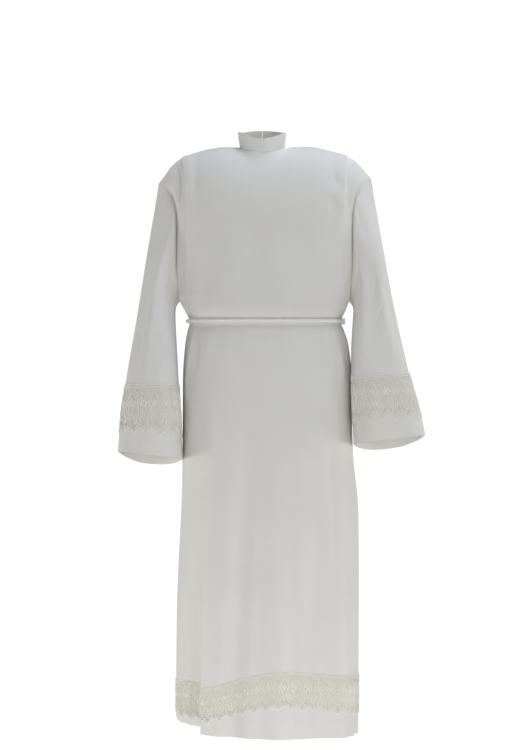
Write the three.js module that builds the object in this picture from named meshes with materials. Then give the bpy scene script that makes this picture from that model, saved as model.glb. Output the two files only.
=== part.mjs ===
// A white liturgical alb in its worn shape, empty: front, back, two wide sleeves, band collar, lace bands
// and a thin cord belt. Millimetres, +Z up. The front faces -Y and the wearer's left is +X. The origin is
// in the middle of the neck opening, at the height of the shoulders' top.
import * as THREE from "three";

// Walls and seams
const CLOTH = 2;
const COLLAR_CLOTH = 2.4;
const LACE = 1.2;
const SEAM = 0.3;
const LACE_LIFT = 0.6; // clear space between the cloth and the lace sewn on it

// Neck seam: an ellipse in plan, low in front and high at the nape
const NECK = { x: -6, y: 5, halfWidth: 54, halfDepth: 57, front: -9, side: 12, back: 22 };
const COLLAR = { height: 32, flare: 4, slit: 0.6 };

// Shoulder seam from the neck to the tip: distance from the middle and height on each side
const SHOULDER_Y = 5;
const SHOULDER = [
  { x: 60, right: 12, left: 12 },
  { x: 100, right: 8, left: 10 },
  { x: 136, right: 2, left: 5 },
  { x: 170, right: -7, left: -4 },
  { x: 200, right: -18, left: -14 },
  { x: 226, right: -38, left: -31 },
  { x: 246, right: -65, left: -55 },
  { x: 259, right: -82, left: -71 },
];

// Armhole: it leaves the shoulder tip, runs down in front and behind, and turns under the arm
const CHEST_Z = -200;
const ARMPIT_Z = -366;
const ARMHOLE = { front: 56, back: 58 };
// The wall's direction on the armhole seam: sideways in front and behind, more so at the ends, and
// upright at the shoulder tip and under the arm
const ARMHOLE_WALL = { sideways: 0.3, atEnds: 0.5, tip: 0.42, under: 0.75 };

// Level sections of the body: half width on the wearer's right and left, depth in front and behind
const SECTIONS = [
  { z: -200, right: 213, left: 211, front: 116, back: 122 },
  { z: -283, right: 214, left: 211, front: 121, back: 121 },
  { z: -344, right: 210, left: 207, front: 125, back: 118 },
  { z: -366, right: 206, left: 204, front: 127, back: 117 },
  { z: -384, right: 199, left: 199, front: 127, back: 115 },
  { z: -398, right: 192, left: 193, front: 123, back: 111 },
  { z: -409, right: 186, left: 187, front: 115, back: 106 },
  { z: -418, right: 184, left: 185, front: 111, back: 103 },
  { z: -427, right: 184, left: 186, front: 112, back: 105 },
  { z: -440, right: 188, left: 192, front: 117, back: 110 },
  { z: -475, right: 193, left: 200, front: 126, back: 121 },
  { z: -540, right: 197, left: 204, front: 133, back: 134 },
  { z: -640, right: 198, left: 206, front: 141, back: 146 },
  { z: -750, right: 200, left: 211, front: 148, back: 155 },
  { z: -860, right: 203, left: 226, front: 154, back: 161 },
  { z: -980, right: 209, left: 228, front: 159, back: 166 },
  { z: -1110, right: 214, left: 228, front: 164, back: 171 },
  { z: -1410, right: 217, left: 227, front: 170, back: 178 },
];
const SQUARENESS = 0.045; // 0 is an ellipse, 0.1 nearly a box with round corners
const ARMHOLE_TURN = 1.12; // how far round the section, in radians, the armhole's front edge lies

// Rows of the panels below the arm, then the lace's upper edge, its points and the hem
const WAIST_Z = -418;
const ROWS_OVER_SHOULDER = 6;
const ROWS_BESIDE_ARMHOLE = 6;
const ROWS_BELOW_ARM = [-384, -398, -409, WAIST_Z, -427, -440, -475, -540, -640, -750, -860, -980, -1110];
// Places across a panel are 0 at its middle, 1 at the wearer's left and -1 at the right
const HEM_FRONT = [
  { across: -1, lace: -1290, points: -1380, hem: -1400 },
  { across: -0.62, lace: -1286, points: -1376, hem: -1389 },
  { across: -0.44, lace: -1295, points: -1380, hem: -1403 },
  { across: -0.2, lace: -1276, points: -1362, hem: -1408 },
  { across: 0.06, lace: -1252, points: -1340, hem: -1411 },
  { across: 0.4, lace: -1262, points: -1353, hem: -1412 },
  { across: 1, lace: -1278, points: -1373, hem: -1419 },
];
const HEM_BACK = [
  { across: -1, lace: -1290, points: -1380, hem: -1400 },
  { across: -0.3, lace: -1276, points: -1369, hem: -1406 },
  { across: 0.3, lace: -1272, points: -1365, hem: -1409 },
  { across: 1, lace: -1278, points: -1373, hem: -1419 },
];

// Columns of a panel from its middle to one side, closer together at the neck and at the shoulder pleat
const NECK_ACROSS = 0.2;
// How far down to the chest the cloth turns from going outward to hanging, at the neck and towards the arm
const SHOULDER_DROP = { neck: 0.36, arm: 0.1 };
const NECK_SPREAD = 0.26; // as far across as this, the neck shapes the cloth below it
const NECK_LEAN = 0.35; // share of its way out to the chest that the cloth beside the neck makes at once
const COLUMNS = [
  0, 0.05, 0.1, 0.15, NECK_ACROSS, 0.29, 0.38, 0.46, 0.52, 0.6, 0.68, 0.74, 0.765, 0.79, 0.86, 0.93, 1,
];

// The pleat that stands on each shoulder: the cloth beside it lies lower, and it opens out on the chest
const PLEAT = { across: 0.765, wide: 0.03, inward: 5, deep: 7, top: -60, end: -420 };

// Long folds: where they run across the panel above and at the hem, half width, height at the hem
const LOWEST_Z = -1410;
const FOLDS_EARLY = 1.25; // the folds have their full height this much sooner than at the hem
const SEAM_FLAT = 0.06; // and they die out this near to a side seam
const FOLDS_FRONT = [
  { above: 0.04, hem: 0.07, wide: 0.13, high: 7, start: -560 },
  { above: -0.1, hem: -0.22, wide: 0.14, high: -9, start: -430 },
  { above: 0.3, hem: 0.33, wide: 0.12, high: -6, start: -700 },
  { above: 0.55, hem: 0.52, wide: 0.12, high: 7, start: -470 },
  { above: 0.84, hem: 0.82, wide: 0.09, high: -12, start: -760 },
];
const FOLDS_BACK = [
  { above: -0.72, hem: -0.78, wide: 0.13, high: -16, start: -440 },
  { above: -0.45, hem: -0.5, wide: 0.15, high: 13, start: -440 },
  { above: -0.18, hem: -0.2, wide: 0.14, high: -12, start: -430 },
  { above: 0.06, hem: 0.08, wide: 0.14, high: 12, start: -450 },
  { above: 0.34, hem: 0.36, wide: 0.13, high: -13, start: -430 },
  { above: 0.58, hem: 0.63, wide: 0.14, high: 14, start: -460 },
  { above: 0.82, hem: 0.86, wide: 0.1, high: -12, start: -480 },
];
// The deep fold on the wearer's right, where the front hangs before the side
const SIDE_FOLD = { edge: -0.435, wide: 0.13, back: -0.6, deep: 62, start: -800, length: 620 };

// Sleeves, from the armhole (along 0) to the cuff (along 1): the outer and inner edges seen from the
// front, how far the middle of the section stands forward, its half depth, and how much the back hangs lower
const SLEEVE_RIGHT = [
  { along: 0, outerX: 259, outerZ: -82, innerX: 206, innerZ: -366, forward: -1, depth: 57, rise: 0, droop: 0 },
  { along: 0.08, outerX: 267, outerZ: -134, innerX: 217, innerZ: -384, forward: 2, depth: 62, rise: 0, droop: 1 },
  { along: 0.25, outerX: 285, outerZ: -245, innerX: 218, innerZ: -418, forward: 10, depth: 73, rise: 0, droop: 4 },
  { along: 0.5, outerX: 310, outerZ: -410, innerX: 214, innerZ: -490, forward: 25, depth: 88, rise: 1, droop: 11 },
  { along: 0.75, outerX: 336, outerZ: -571, innerX: 209, innerZ: -573, forward: 40, depth: 97, rise: 1, droop: 19 },
  { along: 1, outerX: 354, outerZ: -734, innerX: 199, innerZ: -750, forward: 55, depth: 103, rise: 4, droop: 28 },
];
const SLEEVE_LEFT = [
  { along: 0, outerX: 259, outerZ: -71, innerX: 204, innerZ: -366, forward: -1, depth: 57, rise: 0, droop: 0 },
  { along: 0.08, outerX: 267, outerZ: -121, innerX: 215, innerZ: -384, forward: 2, depth: 62, rise: 0, droop: 1 },
  { along: 0.25, outerX: 285, outerZ: -228, innerX: 214, innerZ: -416, forward: 12, depth: 73, rise: 0, droop: 4 },
  { along: 0.5, outerX: 312, outerZ: -385, innerX: 210, innerZ: -478, forward: 30, depth: 88, rise: 1, droop: 11 },
  { along: 0.75, outerX: 347, outerZ: -545, innerX: 209, innerZ: -553, forward: 45, depth: 97, rise: 2, droop: 19 },
  { along: 1, outerX: 385, outerZ: -695, innerX: 214, innerZ: -716, forward: 60, depth: 103, rise: 5, droop: 27 },
];
const SLEEVE_START = 0.3; // as far along as this, the armhole shapes the sleeve
const FOLD_ENDS = 0.35; // share of a trough's length over which it deepens, and over which it dies out
// The sleeve is an oval at the armhole; towards the cuff its front is flatter, and its back more of a lens
const CUFF_FLAT = 0.36;
const CUFF_FLAT_FROM = 0.7;
const CUFF_LENS = 0.45;
const SLEEVE_ROWS = [0, 0.04, 0.1, 0.18, 0.27, 0.36, 0.45, 0.54, 0.63, 0.71];
// Troughs on the sleeves' fronts: angle from the outer edge at both ends (degrees), stretch, half width, depth
const SLEEVE_FOLDS_RIGHT = [
  { from: 50, to: 66, start: 0.08, end: 1.3, wide: 30, deep: 9 },
  { from: 250, to: 266, start: 0.15, end: 1.4, wide: 34, deep: 8 },
];
const SLEEVE_FOLDS_LEFT = [
  { from: 80, to: 96, start: 0.1, end: 0.74, wide: 28, deep: 9 },
  { from: 44, to: 36, start: 0.38, end: 0.75, wide: 28, deep: 8 },
  { from: 255, to: 274, start: 0.15, end: 1.4, wide: 34, deep: 8 },
];
// Lace on the sleeves, as fractions of the sleeve's length
const CUFF_LACE = { top: 0.75, middle: 0.84, notch: 0.914, point: 0.93 };
const LACE_REPEAT = 30;
const LACE_NOTCH = 11; // how far the lace's edge is cut in between two points
const LACE_HEIGHT = 90;
const LEAST_STEP = 1.5; // a point this near to a crease of the cloth is left to the crease

// The cord belt, with the small knot at the wearer's left side
const CORD = { radius: 4.5, lift: 0.5, sides: 8, knotAt: 0.9, knotWide: 0.09, knotRadius: 7.5 };

const clamp = (v, low, high) => Math.min(high, Math.max(low, v));
const mix = (a, b, t) => a + (b - a) * t;
const ease = (t) => clamp(t, 0, 1) ** 2 * (3 - 2 * clamp(t, 0, 1));
const swell = (t) => (Math.abs(t) < 1 ? (1 + Math.cos(Math.PI * t)) / 2 : 0);
const unit = (v) => {
  const size = Math.hypot(...v) || 1;
  return v.map((c) => c / size);
};
const minus = (a, b) => a.map((c, i) => c - b[i]);
const plus = (a, b, k = 1) => a.map((c, i) => c + b[i] * k);
const cross = (a, b) => [a[1] * b[2] - a[2] * b[1], a[2] * b[0] - a[0] * b[2], a[0] * b[1] - a[1] * b[0]];
const span = (a, b) => Math.hypot(...minus(a, b));

// A smooth curve through one column of a table, whose rows are in order of another column
function lookup(rows, by, column, at) {
  const forward = rows[rows.length - 1][by] > rows[0][by] ? 1 : -1;
  let i = 0;
  while (i < rows.length - 2 && (at - rows[i + 1][by]) * forward > 0) i++;
  const slope = (k) => {
    const a = rows[Math.max(0, k - 1)];
    const b = rows[Math.min(rows.length - 1, k + 1)];
    return (b[column] - a[column]) / (b[by] - a[by]);
  };
  const [p, q] = [rows[i], rows[i + 1]];
  const step = q[by] - p[by];
  const t = clamp((at - p[by]) / step, 0, 1);
  const [t2, t3] = [t * t, t * t * t];
  return (
    (2 * t3 - 3 * t2 + 1) * p[column] +
    (t3 - 2 * t2 + t) * step * slope(i) +
    (3 * t2 - 2 * t3) * q[column] +
    (t3 - t2) * step * slope(i + 1)
  );
}

// Rounded-box section: turn 0 is the middle of the front or back, a quarter turn is the side
const sideward = (turn) => (Math.sin(turn) + SQUARENESS * Math.sin(3 * turn)) / (1 - SQUARENESS);
const outward = (turn) => (Math.cos(turn) - SQUARENESS * Math.cos(3 * turn)) / (1 - SQUARENESS);

// A point of the neck seam: turn 0 is the front, half a turn is the nape, positive to the wearer's left
function neckPoint(turn) {
  const c = Math.cos(turn);
  const end = c > 0 ? NECK.front : NECK.back;
  return [
    NECK.x + NECK.halfWidth * Math.sin(turn),
    NECK.y - NECK.halfDepth * c,
    mix(NECK.side, end, c * c),
  ];
}
const neckOut = (p) => unit([(p[0] - NECK.x) / NECK.halfWidth, (p[1] - NECK.y) / NECK.halfDepth, 0]);

// facing is -1 for the front panel and 1 for the back one
const sideName = (across) => (across < 0 ? "right" : "left");

// The panel's upper edge: half of the neck seam, and a shoulder seam on each side of it
function upperEdge(facing, across) {
  const [size, sign] = [Math.abs(across), Math.sign(across)];
  if (size <= NECK_ACROSS) {
    const turn = (across / NECK_ACROSS) * (Math.PI / 2);
    return neckPoint(facing < 0 ? turn : Math.PI - turn);
  }
  const tip = SHOULDER[SHOULDER.length - 1].x;
  const fromNeck = (size - NECK_ACROSS) / (1 - NECK_ACROSS);
  const neckSide = NECK.x + sign * NECK.halfWidth;
  const x = mix(neckSide, sign * tip, fromNeck);
  const alongSeam = mix(SHOULDER[0].x, tip, fromNeck);
  return [x, SHOULDER_Y, lookup(SHOULDER, "x", sideName(across), alongSeam)];
}

// A level section of the panel: above the armpit it ends at the armhole, below it at the side seam
function levelPoint(facing, across, z) {
  const column = facing < 0 ? "front" : "back";
  const deep = lookup(SECTIONS, "z", column, z);
  const wide = lookup(SECTIONS, "z", sideName(across), z);
  const down = clamp((CHEST_Z - z) / (CHEST_Z - ARMPIT_Z), 0, 1);
  const edgeDepth = ARMHOLE[column] * Math.sqrt(1 - down * down);
  const turn = mix(ARMHOLE_TURN, Math.PI / 2, down ** 3);
  const fullDepth = (deep - edgeDepth) / (1 - outward(turn));
  const fullWidth = wide / sideward(turn);
  const depth = deep - fullDepth + fullDepth * outward(turn * Math.abs(across));
  return [Math.sign(across) * fullWidth * sideward(turn * Math.abs(across)), facing * depth, z];
}

// How far a fold, a pleat or the deep side fold moves the cloth: outward, and for the deep fold backward
function foldHeight(facing, across, z) {
  const folds = facing < 0 ? FOLDS_FRONT : FOLDS_BACK;
  const seamClear = ease((1 - Math.abs(across)) / SEAM_FLAT);
  let high = 0;
  for (const f of folds) {
    const down = clamp((f.start - z) / (f.start - LOWEST_Z), 0, 1);
    high += f.high * ease(down * FOLDS_EARLY) * swell((across - mix(f.above, f.hem, down)) / f.wide);
  }
  const open = 1 - ease((PLEAT.top - z) / (PLEAT.top - PLEAT.end));
  const beside = (Math.abs(across) - PLEAT.across) / PLEAT.wide;
  const rise = beside < 0 ? swell(beside / PLEAT.inward) : 1 - ease(beside);
  return (high + PLEAT.deep * open * rise) * seamClear;
}
function sideFoldDepth(facing, across, z) {
  if (facing > 0 || across > SIDE_FOLD.edge) return 0;
  const open = ease((SIDE_FOLD.start - z) / SIDE_FOLD.length);
  const into = ease((SIDE_FOLD.edge - across) / SIDE_FOLD.wide);
  const out = 1 - ease((SIDE_FOLD.back - across) / (1 + SIDE_FOLD.back));
  return SIDE_FOLD.deep * open * into * out;
}

// The panel's middle surface at a place across and a row
function panelPoint(facing, across, row) {
  const overShoulder = row / ROWS_OVER_SHOULDER;
  if (overShoulder < 1) {
    const size = Math.abs(across);
    const top = upperEdge(facing, across);
    const chest = levelPoint(facing, across, CHEST_Z);
    const fromNeck = ease(size / NECK_SPREAD);
    const corner = [
      mix(chest[0], top[0], NECK_LEAN * (1 - ease((size - 0.5) * 2))),
      chest[1],
      mix(top[2], chest[2], mix(SHOULDER_DROP.neck, SHOULDER_DROP.arm, fromNeck)),
    ];
    const [a, b, c] = [(1 - overShoulder) ** 2, 2 * overShoulder * (1 - overShoulder), overShoulder ** 2];
    return top.map((v, i) => a * v + b * corner[i] + c * chest[i]);
  }
  const besideArmhole = (row - ROWS_OVER_SHOULDER) / ROWS_BESIDE_ARMHOLE;
  if (besideArmhole <= 1)
    return levelPoint(facing, across, mix(CHEST_Z, ARMPIT_Z, Math.sin((besideArmhole * Math.PI) / 2)));
  const below = row - ROWS_OVER_SHOULDER - ROWS_BESIDE_ARMHOLE - 1;
  if (below < ROWS_BELOW_ARM.length) return levelPoint(facing, across, ROWS_BELOW_ARM[below]);
  const edge = ["lace", "points", "hem"][below - ROWS_BELOW_ARM.length];
  return levelPoint(facing, across, lookup(facing < 0 ? HEM_FRONT : HEM_BACK, "across", edge, across));
}

const ARMPIT_ROW = ROWS_OVER_SHOULDER + ROWS_BESIDE_ARMHOLE;
const LAST_ROW = ARMPIT_ROW + ROWS_BELOW_ARM.length + 3;
const WAIST_ROW = ARMPIT_ROW + 1 + ROWS_BELOW_ARM.indexOf(WAIST_Z);
const ACROSS = [...COLUMNS.slice(1).reverse().map((a) => -a), ...COLUMNS];

// Surface normals of a grid of points, rows by columns; turned outward by the sign
function normalsOf(grid, sign, closed = false) {
  const [rows, columns] = [grid.length, grid[0].length];
  return grid.map((line, r) =>
    line.map((_, c) => {
      const down = minus(grid[Math.min(rows - 1, r + 1)][c], grid[Math.max(0, r - 1)][c]);
      const [next, last] = closed
        ? [(c + 1) % columns, (c + columns - 1) % columns]
        : [Math.min(columns - 1, c + 1), Math.max(0, c - 1)];
      return unit(cross(minus(line[next], line[last]), down).map((v) => v * sign));
    }),
  );
}

// The way the wall stands at the armhole seam, and the way from the body into the sleeve there.
// upright is 1 at the shoulder tip and -1 under the arm; facing is -1 in front and 1 behind.
function armholeWall(side, facing, upright) {
  const level = Math.sqrt(Math.max(0, 1 - upright * upright));
  const { sideways, atEnds, tip, under } = ARMHOLE_WALL;
  const out = side * (sideways + atEnds * upright * upright);
  const wall = unit([out, facing * level, upright * (upright > 0 ? tip : under)]);
  const along = unit([0, facing * upright, -level]);
  const into = unit(cross(along, wall));
  return { wall, into: into[0] * side > 0 ? into : into.map((v) => -v) };
}
const uprightAt = (z, top) => clamp((z - (top + ARMPIT_Z) / 2) / ((top - ARMPIT_Z) / 2), -1, 1);

// A panel as a grid of middle points and of the directions of its wall
function panel(facing) {
  const plain = [];
  for (let row = 0; row <= LAST_ROW; row++) plain.push(ACROSS.map((a) => panelPoint(facing, a, row)));
  const plainOut = normalsOf(plain, facing);
  const points = plain.map((line, row) =>
    line.map((p, c) => {
      const moved = plus(p, plainOut[row][c], row === 0 ? 0 : foldHeight(facing, ACROSS[c], p[2]));
      moved[1] += sideFoldDepth(facing, ACROSS[c], p[2]);
      return moved;
    }),
  );
  const out = normalsOf(points, facing);
  for (let row = 0; row <= LAST_ROW; row++)
    for (let c = 0; c < ACROSS.length; c++) {
      const [p, n, side] = [points[row][c], out[row][c], Math.sign(ACROSS[c])];
      const atSide = Math.abs(ACROSS[c]) === 1;
      if (row === 0 && Math.abs(ACROSS[c]) <= NECK_ACROSS) out[row][c] = neckOut(p);
      else if (atSide && row < ARMPIT_ROW && row > 0) {
        const { wall, into } = armholeWall(side, facing, uprightAt(p[2], points[0][c][2]));
        out[row][c] = wall;
        points[row][c] = plus(p, into, -SEAM / 2);
      } else if (atSide && (row === 0 || row === ARMPIT_ROW)) {
        const { wall, into } = armholeWall(side, facing, row === 0 ? 1 : -1);
        out[row][c] = wall;
        points[row][c] = plus(plus(p, into, -SEAM / 2), [0, facing, 0], SEAM / 2);
      } else if (row === 0 || atSide) out[row][c] = unit([n[0], 0, n[2]]);
      else if (row === LAST_ROW) out[row][c] = unit([n[0], n[1], 0]);
      const onSeam = (row === 0 && Math.abs(ACROSS[c]) >= NECK_ACROSS && !atSide) || (atSide && row > ARMPIT_ROW);
      if (onSeam) points[row][c] = plus(points[row][c], [0, facing, 0], SEAM / 2);
    }
  return { points, out };
}

// A closed wall on a grid: outer and inner skins and the strips that join them round the edges
function wallMesh(name, material, { points, out }, thick, facing, closed = false) {
  const [rows, columns] = [points.length, points[0].length];
  const place = [];
  for (const k of [thick / 2, -thick / 2])
    for (let r = 0; r < rows; r++) for (let c = 0; c < columns; c++) place.push(...plus(points[r][c], out[r][c], k));
  const at = (skin, r, c) => skin * rows * columns + r * columns + (c % columns);
  const faces = [];
  const quad = (a, b, c, d) => (facing > 0 ? faces.push(a, b, c, a, c, d) : faces.push(a, c, b, a, d, c));
  const wide = closed ? columns : columns - 1;
  for (let r = 0; r < rows - 1; r++)
    for (let c = 0; c < wide; c++) {
      quad(at(0, r, c), at(0, r, c + 1), at(0, r + 1, c + 1), at(0, r + 1, c));
      quad(at(1, r, c), at(1, r + 1, c), at(1, r + 1, c + 1), at(1, r, c + 1));
    }
  for (let c = 0; c < wide; c++) {
    quad(at(1, 0, c), at(1, 0, c + 1), at(0, 0, c + 1), at(0, 0, c));
    quad(at(0, rows - 1, c), at(0, rows - 1, c + 1), at(1, rows - 1, c + 1), at(1, rows - 1, c));
  }
  if (!closed)
    for (let r = 0; r < rows - 1; r++) {
      quad(at(0, r, 0), at(0, r + 1, 0), at(1, r + 1, 0), at(1, r, 0));
      quad(at(1, r, columns - 1), at(1, r + 1, columns - 1), at(0, r + 1, columns - 1), at(0, r, columns - 1));
    }
  return meshOf(name, material, place, faces);
}
function meshOf(name, material, place, faces) {
  const geometry = new THREE.BufferGeometry();
  geometry.setAttribute("position", new THREE.Float32BufferAttribute(place, 3));
  geometry.setIndex(faces);
  geometry.computeVertexNormals();
  const mesh = new THREE.Mesh(geometry, material);
  mesh.name = name;
  return mesh;
}

// A sleeve's section at a fraction along and a turn from its outer edge (0) by the front to the inner edge
function sleevePoint(table, folds, side, along, turn) {
  const value = (column) => lookup(table, "along", column, along);
  const inFront = Math.sin(turn) > 0;
  const flat = inFront ? CUFF_FLAT * ease(along / CUFF_FLAT_FROM) : 0;
  const bend = inFront ? 1 - flat : 1 + CUFF_LENS * ease(along);
  const c = Math.sign(Math.cos(turn)) * Math.abs(Math.cos(turn)) ** (1 - flat);
  const s = Math.sign(Math.sin(turn)) * Math.abs(Math.sin(turn)) ** bend;
  const across = (c + 1) / 2;
  const p = [
    side * mix(value("innerX"), value("outerX"), across),
    -value("forward") - value("depth") * s,
    mix(value("innerZ"), value("outerZ"), across) + value(s > 0 ? "rise" : "droop") * s,
  ];
  const degrees = (turn * 180) / Math.PI;
  const middle = [
    (side * (value("innerX") + value("outerX"))) / 2,
    -value("forward"),
    (value("innerZ") + value("outerZ")) / 2,
  ];
  let deep = 0;
  for (const f of folds) {
    const run = (along - f.start) / (f.end - f.start);
    const fullness = ease(run / FOLD_ENDS) * ease((1 - run) / FOLD_ENDS);
    deep += f.deep * fullness * swell((degrees - mix(f.from, f.to, run)) / f.wide);
  }
  return plus(p, unit(minus(middle, p)), deep);
}

// The sleeve takes its first ring from the panels' armhole edges, and eases into its own sections
function sleeve(side, table, folds, armhole) {
  const count = armhole.length;
  const turns = armhole.map((edge, i) => {
    const turn = Math.acos(edge.upright);
    return i <= count / 2 ? turn : 2 * Math.PI - turn;
  });
  const rows = [...SLEEVE_ROWS, CUFF_LACE.top, CUFF_LACE.middle, CUFF_LACE.point, 1];
  const points = rows.map((along) =>
    turns.map((turn, i) => {
      const p = sleevePoint(table, folds, side, along, turn);
      const start = sleevePoint(table, folds, side, 0, turn);
      return plus(p, minus(armhole[i].point, start), 1 - ease(along / SLEEVE_START));
    }),
  );
  const out = normalsOf(points, side, true);
  armhole.forEach((edge, i) => {
    points[0][i] = plus(edge.point, edge.into, SEAM / 2);
    out[0][i] = edge.wall;
  });
  return { points, out, rows };
}

// Armhole edge points: the shoulder tip, down the front, under the arm, and up the back
function armholeOf(side) {
  const edge = (facing, row) => {
    const point = panelPoint(facing, side, row);
    const upright = uprightAt(point[2], panelPoint(facing, side, 0)[2]);
    return { point, upright, ...armholeWall(side, facing, upright) };
  };
  const edges = [];
  for (let row = 0; row <= ARMPIT_ROW; row++) edges.push(edge(-1, row));
  for (let row = ARMPIT_ROW - 1; row > 0; row--) edges.push(edge(1, row));
  return edges;
}

// A place on a grid's own facets, with the wall's direction there
function onFacets({ points, out }, row, column) {
  const count = points[0].length;
  const [r, c] = [Math.min(points.length - 2, Math.floor(row)), Math.floor(column)];
  const [down, right] = [row - r, column - c];
  const pick = (grid) => {
    const [a, b] = [grid[r][c % count], grid[r][(c + 1) % count]];
    const [d, e] = [grid[r + 1][c % count], grid[r + 1][(c + 1) % count]];
    return right >= down
      ? a.map((v, i) => v + right * (b[i] - v) + down * (e[i] - b[i]))
      : a.map((v, i) => v + down * (d[i] - v) + right * (e[i] - d[i]));
  };
  return { point: pick(points), out: pick(out) };
}

// A lace band on the facets of a ring of cloth: straight above, in even points below. It has a column at
// every crease of the cloth, at every point and at every notch between two points.
function laceBand(ring, levels, notchRow, pointRow) {
  const facets = ring.points[0].length;
  const starts = [0];
  for (let c = 0; c < facets; c++)
    starts.push(starts[c] + span(onFacets(ring, pointRow, c).point, onFacets(ring, pointRow, c + 1).point));
  const half = starts[facets] / (2 * Math.round(starts[facets] / LACE_REPEAT));
  const columns = [];
  for (let c = 0; c < facets; c++) {
    const wide = starts[c + 1] - starts[c];
    columns.push({ at: c, run: starts[c] });
    for (let k = Math.ceil((starts[c] + LEAST_STEP) / half); k * half < starts[c + 1] - LEAST_STEP; k++)
      columns.push({ at: c + (k * half - starts[c]) / wide, run: k * half });
  }
  const lines = [...levels, null].map((level) =>
    columns.map(({ at, run }) => {
      const notch = Math.abs(((run / half) % 2) - 1);
      const { point, out } = onFacets(ring, level ?? mix(pointRow, notchRow, notch), at);
      return { point: plus(point, out, CLOTH / 2 + LACE_LIFT + LACE / 2), out };
    }),
  );
  return { points: lines.map((l) => l.map((p) => p.point)), out: lines.map((l) => l.map((p) => p.out)) };
}

// Front and back rows as one ring: the wearer's right to left in front, then back round behind
function bodyRing(front, back) {
  const join = (a, b) => a.map((line, r) => [...line, ...b[r].slice().reverse()]);
  return { points: join(front.points, back.points), out: join(front.out, back.out) };
}

// The collar: a band on the neck seam, standing up and leaning out a little, slit at the nape
function collar() {
  const steps = 4 * COLUMNS.indexOf(NECK_ACROSS);
  const [points, out] = [[], []];
  for (const up of [0, 0.5, 1]) {
    const line = [];
    for (let i = 0; i <= steps; i++) {
      const p = neckPoint(-Math.PI + (2 * Math.PI * i) / steps);
      const lean = plus(p, neckOut(p), COLLAR.flare * up);
      lean[2] += SEAM + COLLAR.height * up;
      if (i === 0) lean[0] -= COLLAR.slit / 2;
      if (i === steps) lean[0] += COLLAR.slit / 2;
      line.push(lean);
    }
    points.push(line);
    out.push(line.map((_, i) => neckOut(neckPoint(-Math.PI + (2 * Math.PI * i) / steps))));
  }
  return { points, out };
}

// The cord: a tube round the waist on the ring's own points, thicker at the knot
function cord(name, material, ring) {
  const [line, outs] = [ring.points[WAIST_ROW], ring.out[WAIST_ROW]];
  const [place, faces] = [[], []];
  const half = ACROSS.length;
  line.forEach((p, i) => {
    const across = i < half ? ACROSS[i] : 2;
    const radius = mix(CORD.radius, CORD.knotRadius, swell((across - CORD.knotAt) / CORD.knotWide));
    const away = unit([outs[i][0], outs[i][1], 0]);
    const middle = plus(p, away, CLOTH / 2 + CORD.lift + radius);
    for (let k = 0; k < CORD.sides; k++) {
      const turn = (2 * Math.PI * k) / CORD.sides;
      const q = plus(middle, away, radius * Math.cos(turn));
      q[2] += radius * Math.sin(turn);
      place.push(...q);
    }
  });
  const count = line.length;
  for (let i = 0; i < count; i++)
    for (let k = 0; k < CORD.sides; k++) {
      const [a, b] = [i * CORD.sides + k, ((i + 1) % count) * CORD.sides + k];
      const [c, d] = [a - k + ((k + 1) % CORD.sides), b - k + ((k + 1) % CORD.sides)];
      faces.push(a, b, d, a, d, c);
    }
  return meshOf(name, material, place, faces);
}

const fabric = (color, roughness) =>
  new THREE.MeshStandardMaterial({ color, roughness, metalness: 0, side: THREE.DoubleSide });
const crepe = fabric(0xefeeea, 0.85);
const guipure = fabric(0xeeeadc, 0.8);
const braid = fabric(0xf2f1ee, 0.75);

const front = panel(-1);
const back = panel(1);
const ring = bodyRing(front, back);
const alb = new THREE.Group();
alb.add(wallMesh("front", crepe.clone(), front, CLOTH, -1));
alb.add(wallMesh("back", crepe.clone(), back, CLOTH, 1));
for (const [name, side, table, folds] of [
  ["right", -1, SLEEVE_RIGHT, SLEEVE_FOLDS_RIGHT],
  ["left", 1, SLEEVE_LEFT, SLEEVE_FOLDS_LEFT],
]) {
  const tube = sleeve(side, table, folds, armholeOf(side));
  alb.add(wallMesh("sleeve_" + name, crepe.clone(), tube, CLOTH, side, true));
  const rowAt = (along) => {
    const r = tube.rows.findIndex((v, i) => i > 0 && v >= along) - 1;
    return r + (along - tube.rows[r]) / (tube.rows[r + 1] - tube.rows[r]);
  };
  const levels = [rowAt(CUFF_LACE.top), rowAt(CUFF_LACE.middle)];
  const band = laceBand(tube, levels, rowAt(CUFF_LACE.notch), rowAt(CUFF_LACE.point));
  alb.add(wallMesh("lace_sleeve_" + name, guipure.clone(), band, LACE, side, true));
}
const laceRow = LAST_ROW - 2;
const hemBand = laceBand(ring, [laceRow], laceRow + 1 - LACE_NOTCH / LACE_HEIGHT, laceRow + 1);
alb.add(wallMesh("lace_hem", guipure.clone(), hemBand, LACE, -1, true));
alb.add(wallMesh("collar", crepe.clone(), collar(), COLLAR_CLOTH, 1));
alb.add(cord("cincture", braid, ring));

export default alb;
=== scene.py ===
"""A white liturgical alb in its worn shape, with nobody in it: front, back, two wide sleeves, band collar,
corded lace above the cuffs and the hem, and a thin cord belt.

Sizes are in millimetres, in the frame's own axes: +Z up, the front faces -Y, the wearer's left is +X, and
the origin is in the middle of the neck opening. Meshes are turned to metres as they are made.
"""
import math

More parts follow.
